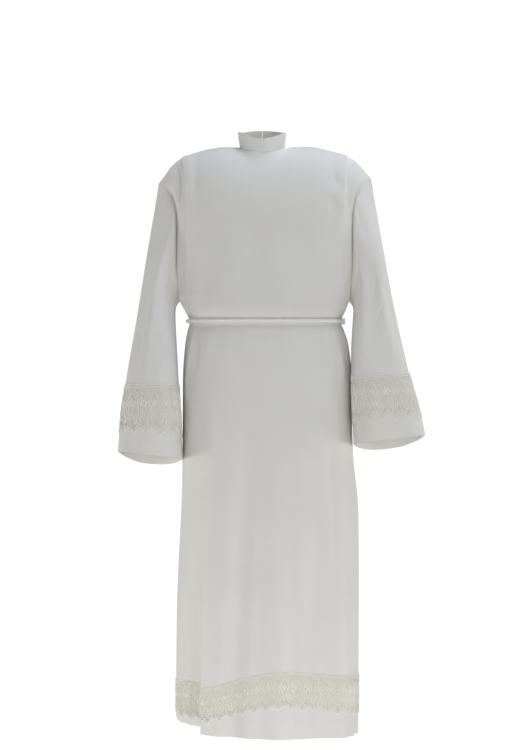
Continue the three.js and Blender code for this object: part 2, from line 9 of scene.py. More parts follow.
import bpy
import numpy as np
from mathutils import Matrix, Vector


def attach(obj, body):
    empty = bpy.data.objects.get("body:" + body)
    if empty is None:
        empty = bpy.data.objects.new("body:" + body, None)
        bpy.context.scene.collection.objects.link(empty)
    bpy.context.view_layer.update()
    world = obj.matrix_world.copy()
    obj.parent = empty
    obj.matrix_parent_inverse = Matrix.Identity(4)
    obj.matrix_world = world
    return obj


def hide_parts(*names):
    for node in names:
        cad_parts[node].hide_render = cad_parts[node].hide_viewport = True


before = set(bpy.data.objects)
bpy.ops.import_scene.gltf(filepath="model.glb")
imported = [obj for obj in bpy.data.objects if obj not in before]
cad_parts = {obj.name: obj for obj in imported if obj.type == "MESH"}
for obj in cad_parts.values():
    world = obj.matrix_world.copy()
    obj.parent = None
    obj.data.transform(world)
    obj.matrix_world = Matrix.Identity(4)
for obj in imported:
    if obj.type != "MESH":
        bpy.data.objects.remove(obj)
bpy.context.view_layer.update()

MM = 0.001

# Camera: level with the garment's middle, far enough away to see it with little perspective
CAMERA_HEIGHT = -549
CAMERA_AWAY = 5500
MM_PER_PIXEL = 2.44
FRAME_HIGH = 750
SENSOR = 36

# Lamps: name, place and aim in metres, size, power and colour
LAMPS = [
    ("key_front", (3.4, -1.2, 1.5), (0, 0, -0.4), (1.0, 1.0), 8, "#eaf0ff"),
    ("key_behind", (2.2, 3.0, 1.3), (0, 0, -0.5), (1.2, 1.2), 4, "#f4f7ff"),
    ("low_right_side", (-2.4, 0.3, -1.3), (0, 0, -1.1), (0.6, 0.9), 12, "#fffdf4"),
    ("low_left_side", (2.4, 0.3, -1.3), (0, 0, -1.1), (0.6, 0.9), 10, "#fffdf4"),
    ("over_shoulders", (0.5, -0.1, 1.9), (0.05, 0, -0.1), (1.8, 0.8), 30, "#eef3ff"),
    ("low_front", (0.1, -1.6, -2.0), (0.1, 0, -1.0), (2.6, 0.4), 13.5, "#fffefb"),
    ("low_behind", (0, 1.8, -1.9), (0, 0, -0.9), (2.6, 0.4), 8, "#fffefb"),
]

# Walls: cloth, collar band, lace ground, and how far the lace stands off the cloth
CLOTH = 1.1
BAND = 2.2
GROUND = 0.5
GROUND_LIFT = 1.0
CORD_LIFT = 1.7


def columns(names, rows):
    """A table as one array for each named column."""
    return dict(zip(names.split(), np.array(rows, float).T))


# Neck seam: its middle, half sizes in plan, and its height in front, at the sides and behind
NECK = dict(x=-6.0, y=5.0, half_width=54.0, half_depth=57.0, front=-9.0, side=5.0, back=22.0)
# Band collar: height in front, how much taller it is at the sides, its lean, and the gap at the nape
COLLAR = dict(height=32.0, taller_beside=7.0, flare=4.0, slit=0.8)
# Its small crease beside the middle, as a ridge and a trough (height, turn, width), its slow waves all round
# (height, count, shift), and how far up its profile both grow, in half waves
COLLAR_CREASE = [(1.6, 0.17, 0.10), (-1.2, 0.30, 0.09)]
COLLAR_WAVES = [(0.9, 3.2, 0.6), (0.5, 7.3, 0.0)]
COLLAR_WAVED = 0.62
# Shoulder seam: how high it runs at each distance from the middle, on the wearer's right and left
SHOULDER_Y = 5.0
SHOULDER = columns("x right left", [
    (60, 5, 5), (100, 7, 8), (136, 2, 5), (170, -7, -4), (200, -18, -14), (226, -38, -31),
    (246, -65, -55), (259, -82, -71),
])
CHEST_Z, ARMPIT_Z, WAIST_Z = -200.0, -366.0, -418.0
# Depth of the armhole's edge before and behind the shoulder seam
ARMHOLE = dict(front=56.0, back=58.0)
# Level sections of the body: half width on each side, and depth in front and behind
SECTIONS = columns("z right left front back", [
    (-200, 213, 211, 116, 122), (-283, 214, 211, 121, 121), (-344, 210, 207, 125, 118),
    (-366, 206, 204, 127, 117), (-384, 199, 199, 127, 115), (-398, 192, 193, 123, 111),
    (-409, 186, 187, 115, 106), (-418, 184, 185, 111, 103), (-427, 184, 186, 112, 105),
    (-440, 188, 192, 117, 110), (-475, 194, 201, 126, 121), (-540, 199, 208, 133, 134),
    (-640, 200, 211, 141, 146), (-750, 201, 215, 148, 155), (-860, 203, 226, 154, 161),
    (-980, 209, 228, 159, 166), (-1110, 214, 228, 164, 171), (-1410, 217, 227, 170, 178),
])
# How square the sections are, and how far round them the armhole's edge is at the chest, in radians
SQUARENESS = 0.045
ARMHOLE_TURN = 1.12
LEVEL_END = -1110.0
HEM_Z = -1410.0
# Across each panel from the wearer's right (-1) to the left (1): heights of the lace's upper edge, of its
# points, and of the hem
HEM = {
    "front": columns("across lace points hem", [
        (-1, -1290, -1360, -1367), (-0.85, -1289, -1371, -1382), (-0.73, -1288, -1377, -1390),
        (-0.62, -1286, -1378, -1392), (-0.44, -1295, -1380, -1403), (-0.2, -1276, -1362, -1408),
        (0.06, -1252, -1340, -1411), (0.4, -1262, -1353, -1412), (1, -1278, -1373, -1419),
    ]),
    "back": columns("across lace points hem", [
        (-1, -1290, -1360, -1367), (-0.82, -1286, -1374, -1390), (-0.6, -1281, -1372, -1403),
        (-0.3, -1276, -1369, -1406), (0.3, -1272, -1365, -1409), (1, -1278, -1373, -1419),
    ]),
}
# The part of a panel that is neck seam, how far beside it the cloth still drops late, and its lean inward
NECK_ACROSS = 0.2
NECK_SPREAD = 0.26
NECK_LEAN = 0.35
# How often the row below the neck seam is evened, and by what share of the way to the chest it counts whole
NECK_EVENED = 24
EVENED_BY = 0.2
# How far down to the chest the cloth turns from going outward to hanging
DROP_AT_NECK, DROP_AT_ARM = 0.36, 0.1
# The valley in front in which the armhole seam lies: depth, and where it starts, is deepest and ends
VALLEY = dict(deep=15.0, cusp=1.8, top=-75.0, full=-120.0, fades=-210.0, end=-372.0, across=0.09, along=0.05)
# The shoulder pleats: the step's place and width across, its inward slope in such widths, depth and length
PLEAT = dict(across=0.765, wide=0.022, inward=7.0, deep=7.0, top=-60.0, end=-420.0)

# Folds and creases stay flat this near the seams, and over this many rows at a panel's upper edge
FOLDS_FLAT, CREASES_FLAT, EDGE_ROWS = 0.06, 0.05, 6
# How much sooner than at the hem a long fold is whole
FOLDS_EARLY = 1.25
# Long folds: where they run across the panel above and at the hem, half width, height at the hem, start
FOLDS = {
    "front": [
        (0.05, 0.07, 0.11, 12, -500), (-0.09, -0.2, 0.11, -13, -430), (0.3, 0.33, 0.12, -9, -600),
        (0.55, 0.52, 0.12, 8, -470), (0.84, 0.82, 0.09, -12, -760),
    ],
    "back": [
        (-0.72, -0.78, 0.13, -16, -440), (-0.45, -0.5, 0.15, 13, -440), (-0.18, -0.2, 0.14, -12, -430),
        (0.06, 0.08, 0.14, 12, -450), (0.34, 0.36, 0.13, -13, -430), (0.58, 0.63, 0.14, 14, -460),
        (0.82, 0.86, 0.1, -12, -480),
    ],
}
# The deep side fold: its edge, width and back across the panel, depth, start, length, and how far its wall
# is pulled in under the edge, over this share of its width
SIDE_FOLD = dict(edge=-0.435, wide=0.13, back=-0.6, deep=62.0, start=-800.0, length=620.0)
SIDE_FOLD.update(under=27.0, tuck=0.6)

# Every crease: sideways waver in its own widths, turns and shift of it, share that fades at each end, width
# at the start and how much it grows
CREASE = dict(waver=0.35, turns=5.1, shift=1.7, ends=0.3, narrow=0.8, widens=0.4)
# Millimetres for one step across a panel, one step along a sleeve, and one degree round a sleeve
ACROSS_MM, ALONG_MM, DEGREE_MM = 300.0, 600.0, 1.65
# Creases placed one by one: from (across, z) to (across, z), half width and height. Troughs are negative.
CREASES = {
    "front": [
        # Beside the shoulder pleats
        (-0.835, -30, -0.915, -150, 8, -7.0), (-0.885, -30, -0.955, -150, 6, 4.5),
        (0.835, -26, 0.935, -190, 9, -8.0), (0.89, -26, 0.975, -170, 6, 4.0),
        # Across the chest towards the armholes
        (0.60, -70, 0.77, -96, 13, -3.5), (0.58, -128, 0.76, -160, 15, -4.0),
        (0.55, -98, 0.74, -126, 12, 2.2), (-0.60, -76, -0.76, -104, 13, -2.5),
        (-0.62, -140, -0.76, -172, 14, -2.5),
        # Down the chest to the belt
        (0.13, -150, 0.10, -400, 26, 2.0), (-0.07, -120, -0.12, -405, 30, -2.6),
        (-0.30, -170, -0.26, -404, 26, 2.4), (0.33, -190, 0.30, -404, 24, -2.4),
        (0.52, -230, 0.47, -402, 20, 2.6), (-0.52, -240, -0.47, -402, 22, -2.8),
        # From under the arms to the belt
        (0.97, -300, 0.66, -392, 15, -4.0), (0.98, -340, 0.78, -402, 12, 3.0),
        (-0.97, -300, -0.64, -392, 15, -4.0), (-0.98, -344, -0.80, -404, 12, 3.0),
        (0.88, -390, 0.70, -410, 10, -2.0), (-0.88, -392, -0.72, -410, 10, -2.2),
        # Gathers below the belt
        (-0.58, -428, -0.60, -560, 12, -3.4), (-0.44, -428, -0.43, -520, 11, 2.4),
        (-0.68, -428, -0.74, -640, 13, 3.4), (0.46, -428, 0.47, -540, 11, -2.6),
        (0.60, -428, 0.64, -600, 13, 3.4), (0.72, -428, 0.80, -580, 12, -3.8),
        (0.86, -430, 0.93, -560, 12, 3.0), (-0.82, -430, -0.88, -600, 12, -3.6),
        (-0.08, -427, -0.09, -500, 10, -1.2), (0.12, -427, 0.12, -490, 10, 1.2),
        (0.28, -428, 0.28, -520, 11, -2.0), (-0.27, -428, -0.27, -530, 12, 2.0),
        # At the hem
        (0.28, -1180, 0.30, -1420, 9, -2.6), (0.36, -1220, 0.38, -1420, 9, 2.4),
        (0.11, -1150, 0.10, -1420, 10, 2.2), (-0.22, -1190, -0.23, -1420, 9, -2.6),
        (-0.31, -1160, -0.33, -1420, 9, 2.6), (-0.38, -1240, -0.39, -1420, 7, -2.0),
        (0.60, -1130, 0.61, -1420, 12, 2.6), (0.0, -1280, 0.0, -1420, 8, -1.6),
        # Down the skirt
        (0.93, -820, 0.94, -1180, 8, -3.5), (0.47, -620, 0.50, -1100, 22, -3.0),
        (-0.34, -560, -0.40, -980, 24, 3.2), (0.15, -760, 0.17, -1260, 20, 2.0),
    ],
    "back": [
        # From the nape
        (0.0, -60, 0.0, -210, 16, -1.6), (0.16, -70, 0.30, -250, 24, 2.4),
        (-0.16, -70, -0.32, -260, 24, 2.2),
        # Across the back towards the armholes
        (0.62, -80, 0.77, -104, 13, -3.0), (-0.60, -84, -0.77, -110, 13, -3.0),
        (0.58, -142, 0.76, -176, 14, -2.6),
        # Down the back to the belt
        (0.42, -200, 0.36, -404, 26, -3.2), (-0.40, -210, -0.34, -404, 26, -3.0),
        (0.14, -230, 0.12, -404, 22, 2.8), (-0.12, -240, -0.10, -404, 22, 2.4),
        (0.62, -250, 0.56, -404, 20, 3.0), (-0.63, -250, -0.58, -404, 20, 3.2),
        # From under the arms to the belt
        (0.97, -300, 0.68, -394, 15, -4.2), (-0.97, -300, -0.70, -394, 15, -4.2),
        # Gathers below the belt
        (-0.62, -428, -0.66, -600, 13, 4.0), (-0.5, -428, -0.52, -560, 12, -3.6),
        (-0.34, -428, -0.33, -620, 13, 3.6), (-0.08, -428, -0.07, -560, 12, 3.6),
        (0.04, -428, 0.05, -520, 11, -3.0), (0.2, -428, 0.22, -600, 13, 3.6),
        (0.44, -428, 0.47, -580, 12, 3.4), (0.7, -428, 0.76, -620, 13, 4.0),
        (0.86, -428, 0.92, -560, 12, -3.2), (-0.84, -428, -0.9, -580, 12, -3.6),
        # At the hem
        (-0.3, -1180, -0.31, -1420, 10, 2.6), (0.24, -1160, 0.25, -1420, 10, -2.6),
        (0.5, -1180, 0.52, -1420, 10, 2.8), (-0.62, -1180, -0.64, -1420, 10, -2.8),
        (-0.06, -1200, -0.06, -1420, 9, 2.2),
    ],
}

# Sleeves from the armhole (0) to the cuff (1): outer and inner edges seen from the front, how far the middle
# stands forward, half depth, and how far the front rises above those edges and the back droops below them
SLEEVE_NAMES = "along outer_x outer_z inner_x inner_z forward depth rise droop"
SLEEVES = {
    "right": columns(SLEEVE_NAMES, [
        (0, 259, -82, 206, -366, -1, 57, 0, 0), (0.08, 267, -134, 217, -384, 2, 62, 0, 1),
        (0.25, 285, -245, 218, -418, 10, 73, 0, 4), (0.5, 310, -410, 214, -490, 25, 88, 1, 11),
        (0.75, 336, -571, 209, -573, 40, 97, 1, 19), (1, 354, -734, 199, -750, 55, 103, 4, 28),
    ]),
    "left": columns(SLEEVE_NAMES, [
        (0, 259, -71, 204, -366, -1, 57, 0, 0), (0.08, 267, -121, 215, -384, 2, 62, 0, 1),
        (0.25, 285, -228, 214, -416, 12, 73, 0, 4), (0.5, 312, -385, 210, -478, 30, 88, 1, 11),
        (0.75, 347, -545, 209, -553, 45, 97, 2, 19), (1, 385, -695, 214, -716, 60, 103, 5, 27),
    ]),
}
# Long troughs on the sleeves: angle at both ends, stretch, half width in degrees, depth
SLEEVE_FOLDS = {
    "right": [(50, 66, 0.08, 1.3, 30, 9), (250, 266, 0.15, 1.4, 34, 8)],
    "left": [(80, 96, 0.1, 0.74, 28, 9), (44, 36, 0.38, 0.75, 28, 8), (255, 274, 0.15, 1.4, 34, 8)],
}
# Creases on the sleeves: from (along, degrees) to (along, degrees), half width and height in mm
SLEEVE_CREASES = {
    "right": [
        (0.01, 40, 0.22, 56, 12, -3.0), (0.01, 66, 0.30, 84, 14, 2.4), (0.02, 120, 0.26, 108, 14, -3.4),
        (0.02, 150, 0.30, 136, 12, 3.0), (0.34, 100, 0.44, 60, 12, -2.4), (0.42, 112, 0.55, 78, 13, -2.4),
        (0.50, 30, 0.62, 60, 12, -2.0), (0.60, 96, 1.02, 104, 16, 3.2), (0.70, 126, 1.02, 134, 14, -3.0),
        (0.72, 24, 1.02, 22, 13, 2.6), (0.01, 300, 0.25, 288, 13, -3.4), (0.02, 232, 0.3, 226, 13, 3.0),
        (0.36, 250, 0.46, 292, 12, -2.8), (0.48, 240, 0.58, 284, 13, -2.6), (0.6, 300, 1.02, 306, 15, -3.0),
        (0.6, 222, 1.02, 216, 15, 3.0),
    ],
    "left": [
        (0.01, 46, 0.18, 60, 11, -3.4), (0.01, 78, 0.24, 70, 12, 2.4), (0.02, 118, 0.24, 112, 14, -3.0),
        (0.02, 150, 0.30, 138, 12, 3.0), (0.30, 66, 0.38, 92, 9, -4.2), (0.36, 58, 0.47, 80, 10, 3.0),
        (0.42, 62, 0.52, 96, 10, -4.0), (0.52, 52, 0.62, 74, 10, -3.0), (0.58, 40, 0.74, 52, 12, 2.8),
        (0.70, 36, 0.80, 62, 11, -3.4), (0.66, 96, 1.02, 100, 16, 3.0), (0.72, 128, 1.02, 136, 14, -3.0),
        (0.72, 20, 1.02, 16, 13, 2.4), (0.01, 300, 0.25, 288, 13, -3.4), (0.02, 232, 0.3, 226, 13, 3.0),
        (0.36, 252, 0.46, 292, 12, -2.8), (0.5, 240, 0.6, 282, 13, -2.6), (0.6, 302, 1.02, 308, 15, -3.0),
    ],
}
# How far along the sleeve it has left the armhole's shape, and how far its creases have begun
SLEEVE_START, SLEEVE_CREASED = 0.3, 0.05
# The first rows of its grid, close together at the valley, and how far its last row leans down
FIRST_ROWS, CUFF_LEAN = (0, 0.004, 0.010, 0.018), 0.15
# Share of a long trough in which it deepens, and again in which it ends
FOLD_ENDS = 0.35
# How much flatter the front gets, by how far along, and how much sharper the back gets at the cuff
CUFF_FLAT, CUFF_FLAT_BY, CUFF_LENS = 0.36, 0.7, 0.45
# Fine gathers at the sleeve head: height, number round, middle and width along, and where round they start
GATHERS = dict(high=0.35, count=26, middle=0.03, wide=0.045, least=0.15, over=0.5)
# Lace on the sleeves, as shares along them, and the length of one repeat
CUFF_LACE = dict(top=0.75, point=0.93)
LACE_REPEAT = 30.0

# Grid sizes: columns of a panel, its rows over the shoulder, down to the lace, and at the hem
PANEL_COLUMNS = 129
SHOULDER_ROWS, BODY_ROWS, HEM_ROWS = 48, 190, 62
SLEEVE_COLUMNS, SLEEVE_GRID_ROWS = 128, 150

# Belt: the cord's radius, one strand's, how far the strands wind off the middle, their number and pitch
BELT = dict(radius=4.3, strand=2.5, helix=1.9, strands=3, pitch=24.0, clear=0.4, evened=6)
BELT_STEPS, KNOT_STEPS = 540, 90
# Its knot: size of the loop, cord radius, how flat and deep the loop lies, and the place it is nearest to
KNOT = dict(size=2.3, cord=2.6, flat=0.9, deep=1.3, lift=2.0, near=(400.0, -70.0))
# Stitches: length, spacing, thread radius, and how many rows of the grid a hem stitch is from the edge
STITCH = dict(long=2.9, spacing=4.0, thick=0.34, cuff_rows=6.0, hem_rows=7.0)
# Points up the collar's profile that carry a row of stitches: near its top and near its foot
STITCHED_LEVELS = (9, 1)
# Sides round each kind of tube
SIDES = dict(lace=5, stitch=5, seam=6, belt=8)
# Radius of the rolled edge on each kind of seam
SEAM = dict(armhole=1.25, neck=1.3, side=0.8, shoulder=0.8)


def ease(t):
    """Smooth step from 0 to 1."""
    t = np.clip(t, 0, 1)
    return t * t * (3 - 2 * t)


def swell(t):
    """A bell of cosine shape: 1 at 0 and 0 from -1 and from 1 on."""
    return np.where(np.abs(t) < 1, (1 + np.cos(np.pi * np.clip(t, -1, 1))) / 2, 0.0)


def mix(a, b, t):
    return a + (b - a) * t


def unit(v):
    return v / np.maximum(np.linalg.norm(v, axis=-1, keepdims=True), 1e-9)


def lengths(line, closed=False):
    """Length so far at each point of a line, and at its start again where it is closed."""
    if closed:
        line = np.concatenate([line, line[:1]])
    return np.concatenate([[0], np.cumsum(np.linalg.norm(np.diff(line, axis=0), axis=1))])


def lookup(table, by, column, at):
    """Cubic Hermite curve through a column, with each row's slope from its two neighbours."""
    x, y = table[by], table[column]
    if x[-1] < x[0]:
        x, y = x[::-1], y[::-1]
    n = len(x)
    low, high = np.maximum(np.arange(n) - 1, 0), np.minimum(np.arange(n) + 1, n - 1)
    slope = (y[high] - y[low]) / (x[high] - x[low])
    at = np.asarray(at, float)
    i = np.clip(np.searchsorted(x, at) - 1, 0, n - 2)
    step = x[i + 1] - x[i]
    t = np.clip((at - x[i]) / step, 0, 1)
    return (
        (2 * t**3 - 3 * t**2 + 1) * y[i]
        + (t**3 - 2 * t**2 + t) * step * slope[i]
        + (3 * t**2 - 2 * t**3) * y[i + 1]
        + (t**3 - t**2) * step * slope[i + 1]
    )


def by_side(table, by, across, at):
    """The right column where across is negative, and the left one elsewhere."""
    return np.where(across < 0, lookup(table, by, "right", at), lookup(table, by, "left", at))


def sideward(turn):
    """Rounded-box section, across: (sin a + s sin 3a) / (1 - s)."""
    return (np.sin(turn) + SQUARENESS * np.sin(3 * turn)) / (1 - SQUARENESS)


def outward(turn):
    """Rounded-box section, to the front or back: (cos a - s cos 3a) / (1 - s)."""
    return (np.cos(turn) - SQUARENESS * np.cos(3 * turn)) / (1 - SQUARENESS)


def neck_points(turn):
    """Neck seam: an ellipse in plan whose height goes with the square of the cosine, low in front."""
    c = np.cos(turn)
    end = np.where(c > 0, NECK["front"], NECK["back"])
    return np.stack(
        [
            NECK["x"] + NECK["half_width"] * np.sin(turn),
            NECK["y"] - NECK["half_depth"] * c,
            mix(NECK["side"], end, c * c),
        ],
        -1,
    )


def neck_out(p):
    """Outward direction, level, of the ellipse through points on the neck seam."""
    x = (p[..., 0] - NECK["x"]) / NECK["half_width"]
    y = (p[..., 1] - NECK["y"]) / NECK["half_depth"]
    return unit(np.stack([x, y, 0 * x], -1))


def upper_edge(face, across):
    """Half of the neck seam in the middle of the panel, and the shoulder seam on each side of it."""
    size, sign = np.abs(across), np.sign(across)
    turn = np.clip(across / NECK_ACROSS, -1, 1) * np.pi / 2
    neck = neck_points(turn if face == "front" else np.pi - turn)
    from_neck = np.clip((size - NECK_ACROSS) / (1 - NECK_ACROSS), 0, 1)
    tip = SHOULDER["x"][-1]
    x = mix(NECK["x"] + sign * NECK["half_width"], sign * tip, from_neck)
    z = by_side(SHOULDER, "x", across, mix(SHOULDER["x"][0], tip, from_neck))
    shoulder = np.stack([x, np.full_like(x, SHOULDER_Y), z], -1)
    return np.where((size <= NECK_ACROSS)[:, None], neck, shoulder)


def level_points(face, across, z):
    """Level sections: above the armpit they end at the armhole, below it at the side seam. z may vary."""
    sign = -1 if face == "front" else 1
    across, z = np.broadcast_arrays(across, z)
    deep = lookup(SECTIONS, "z", face, z)
    wide = by_side(SECTIONS, "z", across, z)
    down = np.clip((CHEST_Z - z) / (CHEST_Z - ARMPIT_Z), 0, 1)
    edge = ARMHOLE[face] * np.sqrt(1 - down**2)
    turn = mix(ARMHOLE_TURN, np.pi / 2, down**3)
    full_depth = (deep - edge) / (1 - outward(turn))
    depth = deep - full_depth + full_depth * outward(turn * np.abs(across))
    x = np.sign(across) * wide / sideward(turn) * sideward(turn * np.abs(across))
    return np.stack([x, sign * depth, z], -1)


def fold_height(face, across, z):
    """Long folds that deepen to the hem, and the pleat at the shoulder that opens out on the chest."""
    high = np.zeros(np.broadcast(across, z).shape)
    for above, hem, wide, rise, start in FOLDS[face]:
        down = np.clip((start - z) / (start - HEM_Z), 0, 1)
        high += rise * ease(down * FOLDS_EARLY) * swell((across - mix(above, hem, down)) / wide)
    opened = 1 - ease((PLEAT["top"] - z) / (PLEAT["top"] - PLEAT["end"]))
    beside = (np.abs(across) - PLEAT["across"]) / PLEAT["wide"]
    step = np.where(beside < 0, swell(beside / PLEAT["inward"]), 1 - ease(beside))
    return (high + PLEAT["deep"] * opened * step) * ease((1 - np.abs(across)) / FOLDS_FLAT)


def side_fold(face, across, z):
    """The deep fold on the wearer's right, where the front hangs before the side: how far back the cloth
    lies, and how far the fold's wall is pulled in under the front's edge, towards the wearer's left."""
    if face == "back":
        return 0.0, 0.0
    s = SIDE_FOLD
    opened = ease((s["start"] - z) / s["length"])
    into = ease((s["edge"] - across) / s["wide"])
    out = 1 - ease((s["back"] - across) / (1 + s["back"]))
    reach = s["tuck"] * s["wide"]
    under = s["under"] * opened * swell((across - s["edge"] + reach) / reach)
    return s["deep"] * opened * into * out, under


def valley_depth(z, away, reach):
    """How far the cloth lies back beside the armhole seam: whole on the seam, with a cusp, and nothing at
    the reach; it deepens below the shoulder tip and becomes shallow towards the arm."""
    v = VALLEY
    window = ease((v["top"] - z) / (v["top"] - v["full"])) * ease((z - v["end"]) / (v["fades"] - v["end"]))
    return v["deep"] * window * np.clip(1 - away / reach, 0, 1) ** v["cusp"]


def crease_height(table, u, v, u_size, v_size):
    """Each crease is a bell across its line, which fades at both ends and wavers a little. u and v are any
    two coordinates on the surface, and their sizes turn them to millimetres."""
    c = CREASE
    high = np.zeros(np.broadcast(u, v).shape)
    for i, (u0, v0, u1, v1, wide, rise) in enumerate(table):
        du, dv = (u1 - u0) * u_size, (v1 - v0) * v_size
        length = math.hypot(du, dv)
        pu, pv = (u - u0) * u_size, (v - v0) * v_size
        t = (pu * du + pv * dv) / length**2
        away = (pu * dv - pv * du) / length + c["waver"] * wide * np.sin(c["turns"] * t + c["shift"] * i)
        ends = ease(t / c["ends"]) * ease((1 - t) / c["ends"])
        spread = wide * (c["narrow"] + c["widens"] * np.clip(t, 0, 1))
        high += rise * ends * np.exp(-((away / spread) ** 2))
    return high


def normals_of(points, sign, closed=False):
    """Unit normals of a grid from differences across it and down it."""
    down = np.gradient(points, axis=0)
    if closed:
        across = np.roll(points, -1, 1) - np.roll(points, 1, 1)
    else:
        across = np.gradient(points, axis=1)
    return unit(np.cross(across, down)) * sign


def evened(points, passes, closed=False):
    """A row of points, each moved again and again to the mean of itself and its two neighbours. The ends
    of an open row stay."""
    for _ in range(passes):
        mean = (np.roll(points, 1, 0) + 2 * points + np.roll(points, -1, 0)) / 4
        if not closed:
            mean[[0, -1]] = points[[0, -1]]
        points = mean
    return points


def over_shoulder(face, across, q):
    """Parabolic arcs from the upper edge (q = 0) to the chest (1), which first go outward and then hang.
    Below the seam they start from an evened copy of it, so that no crease runs down from the collar."""
    size = np.abs(across)
    top, chest = upper_edge(face, across), level_points(face, across, CHEST_Z)
    lean = NECK_LEAN * (1 - ease((size - 0.5) * 2))
    drop = mix(DROP_AT_NECK, DROP_AT_ARM, ease(size / NECK_SPREAD))
    corner = [mix(chest[:, 0], top[:, 0], lean), chest[:, 1], mix(top[:, 2], chest[:, 2], drop)]
    start = mix(top, evened(top, NECK_EVENED), ease(q / EVENED_BY))
    return (1 - q) ** 2 * start + 2 * q * (1 - q) * np.stack(corner, -1) + q**2 * chest


def panel_skin(face):
    """The panel's middle surface: arcs over the shoulder to the chest, then level sections, moved by the
    folds and creases. Points, outward directions and the places across make up a skin."""
    sign = -1 if face == "front" else 1
    across = np.linspace(-1, 1, PANEL_COLUMNS)
    size = np.abs(across)
    over = over_shoulder(face, across, np.linspace(0, 1, SHOULDER_ROWS, endpoint=False)[:, None, None])
    levels = np.linspace(CHEST_Z, LEVEL_END, BODY_ROWS, endpoint=False)[:, None]
    w = np.linspace(0, 1, HEM_ROWS)[:, None]
    low = mix(LEVEL_END, lookup(HEM[face], "across", "hem", across)[None, :], w)
    points = np.concatenate(
        [over, level_points(face, across[None, :], levels), level_points(face, across[None, :], low)]
    )
    out = normals_of(points, sign)
    z = points[..., 2]
    moved = fold_height(face, across[None, :], z)
    creases = crease_height(CREASES[face], across[None, :], z, ACROSS_MM, 1.0)
    moved += creases * ease((1 - size) / CREASES_FLAT)
    moved *= ease(np.arange(len(points))[:, None] / EDGE_ROWS)
    points = points + out * moved[..., None]
    backward, inward = side_fold(face, across[None, :], z)
    points[..., 1] += backward
    points[..., 0] += inward
    if face == "front":
        points[..., 1] += valley_depth(z, 1 - size, VALLEY["across"])
    out = normals_of(points, sign)
    out[0] = np.where((size <= NECK_ACROSS)[:, None], neck_out(points[0]), unit(out[0] * [1, 0, 1]))
    out[-1] = unit(out[-1] * [1, 1, 0])
    out[SHOULDER_ROWS:, [0, -1]] = unit(out[SHOULDER_ROWS:, [0, -1]] * [1, 0, 1])
    return {"points": points, "out": out, "across": across, "closed": False, "facing": sign}


def armhole_edge(side):
    """The armhole as (how upright, point) in front and behind, from the shoulder tip to under the arm."""
    edges = {}
    for face in ("front", "back"):
        across = np.array([side], float)
        over = over_shoulder(face, across, np.linspace(0, 1, 120)[:, None, None])
        z = mix(CHEST_Z, ARMPIT_Z, np.sin(np.linspace(0, np.pi / 2, 120)))[1:, None]
        points = np.concatenate([over, level_points(face, across[None, :], z)])[:, 0]
        middle = (points[0, 2] + ARMPIT_Z) / 2
        half = (points[0, 2] - ARMPIT_Z) / 2
        if face == "front":
            points[:, 1] += valley_depth(points[:, 2], 0.0, VALLEY["across"])
        edges[face] = (np.clip((points[:, 2] - middle) / half, -1, 1)[::-1], points[::-1])
    return edges


def sleeve_sections(name, side, along, turn):
    """A tilted oval between the outer and inner edges, flatter in front and sharper behind towards the cuff,
    with the long troughs pressed in towards its middle."""
    t = {c: lookup(SLEEVES[name], "along", c, along) for c in SLEEVES[name] if c != "along"}
    flat = np.where(np.sin(turn) > 0, CUFF_FLAT * ease(along / CUFF_FLAT_BY), 0.0)
    lens = np.where(np.sin(turn) > 0, 0.0, CUFF_LENS * ease(along))
    c = np.sign(np.cos(turn)) * np.abs(np.cos(turn)) ** (1 - flat)
    s = np.sign(np.sin(turn)) * np.abs(np.sin(turn)) ** (1 - flat + lens)
    share = (c + 1) / 2
    points = np.stack(
        [
            side * mix(t["inner_x"], t["outer_x"], share),
            -t["forward"] - t["depth"] * s,
            mix(t["inner_z"], t["outer_z"], share) + np.where(s > 0, t["rise"], t["droop"]) * s,
        ],
        -1,
    )
    middle_x = side * (t["inner_x"] + t["outer_x"]) / 2
    middle_z = (t["inner_z"] + t["outer_z"]) / 2
    middle = np.stack(np.broadcast_arrays(middle_x, -t["forward"], middle_z), -1)
    deep = np.zeros(points.shape[:2])
    for from_, to, start, end, wide, depth in SLEEVE_FOLDS[name]:
        run = (along - start) / (end - start)
        full = ease(run / FOLD_ENDS) * (1 - ease((run - 1 + FOLD_ENDS) / FOLD_ENDS))
        deep += depth * full * swell((np.degrees(turn) - mix(from_, to, run)) / wide)
    return points + unit(middle - points) * deep[..., None]


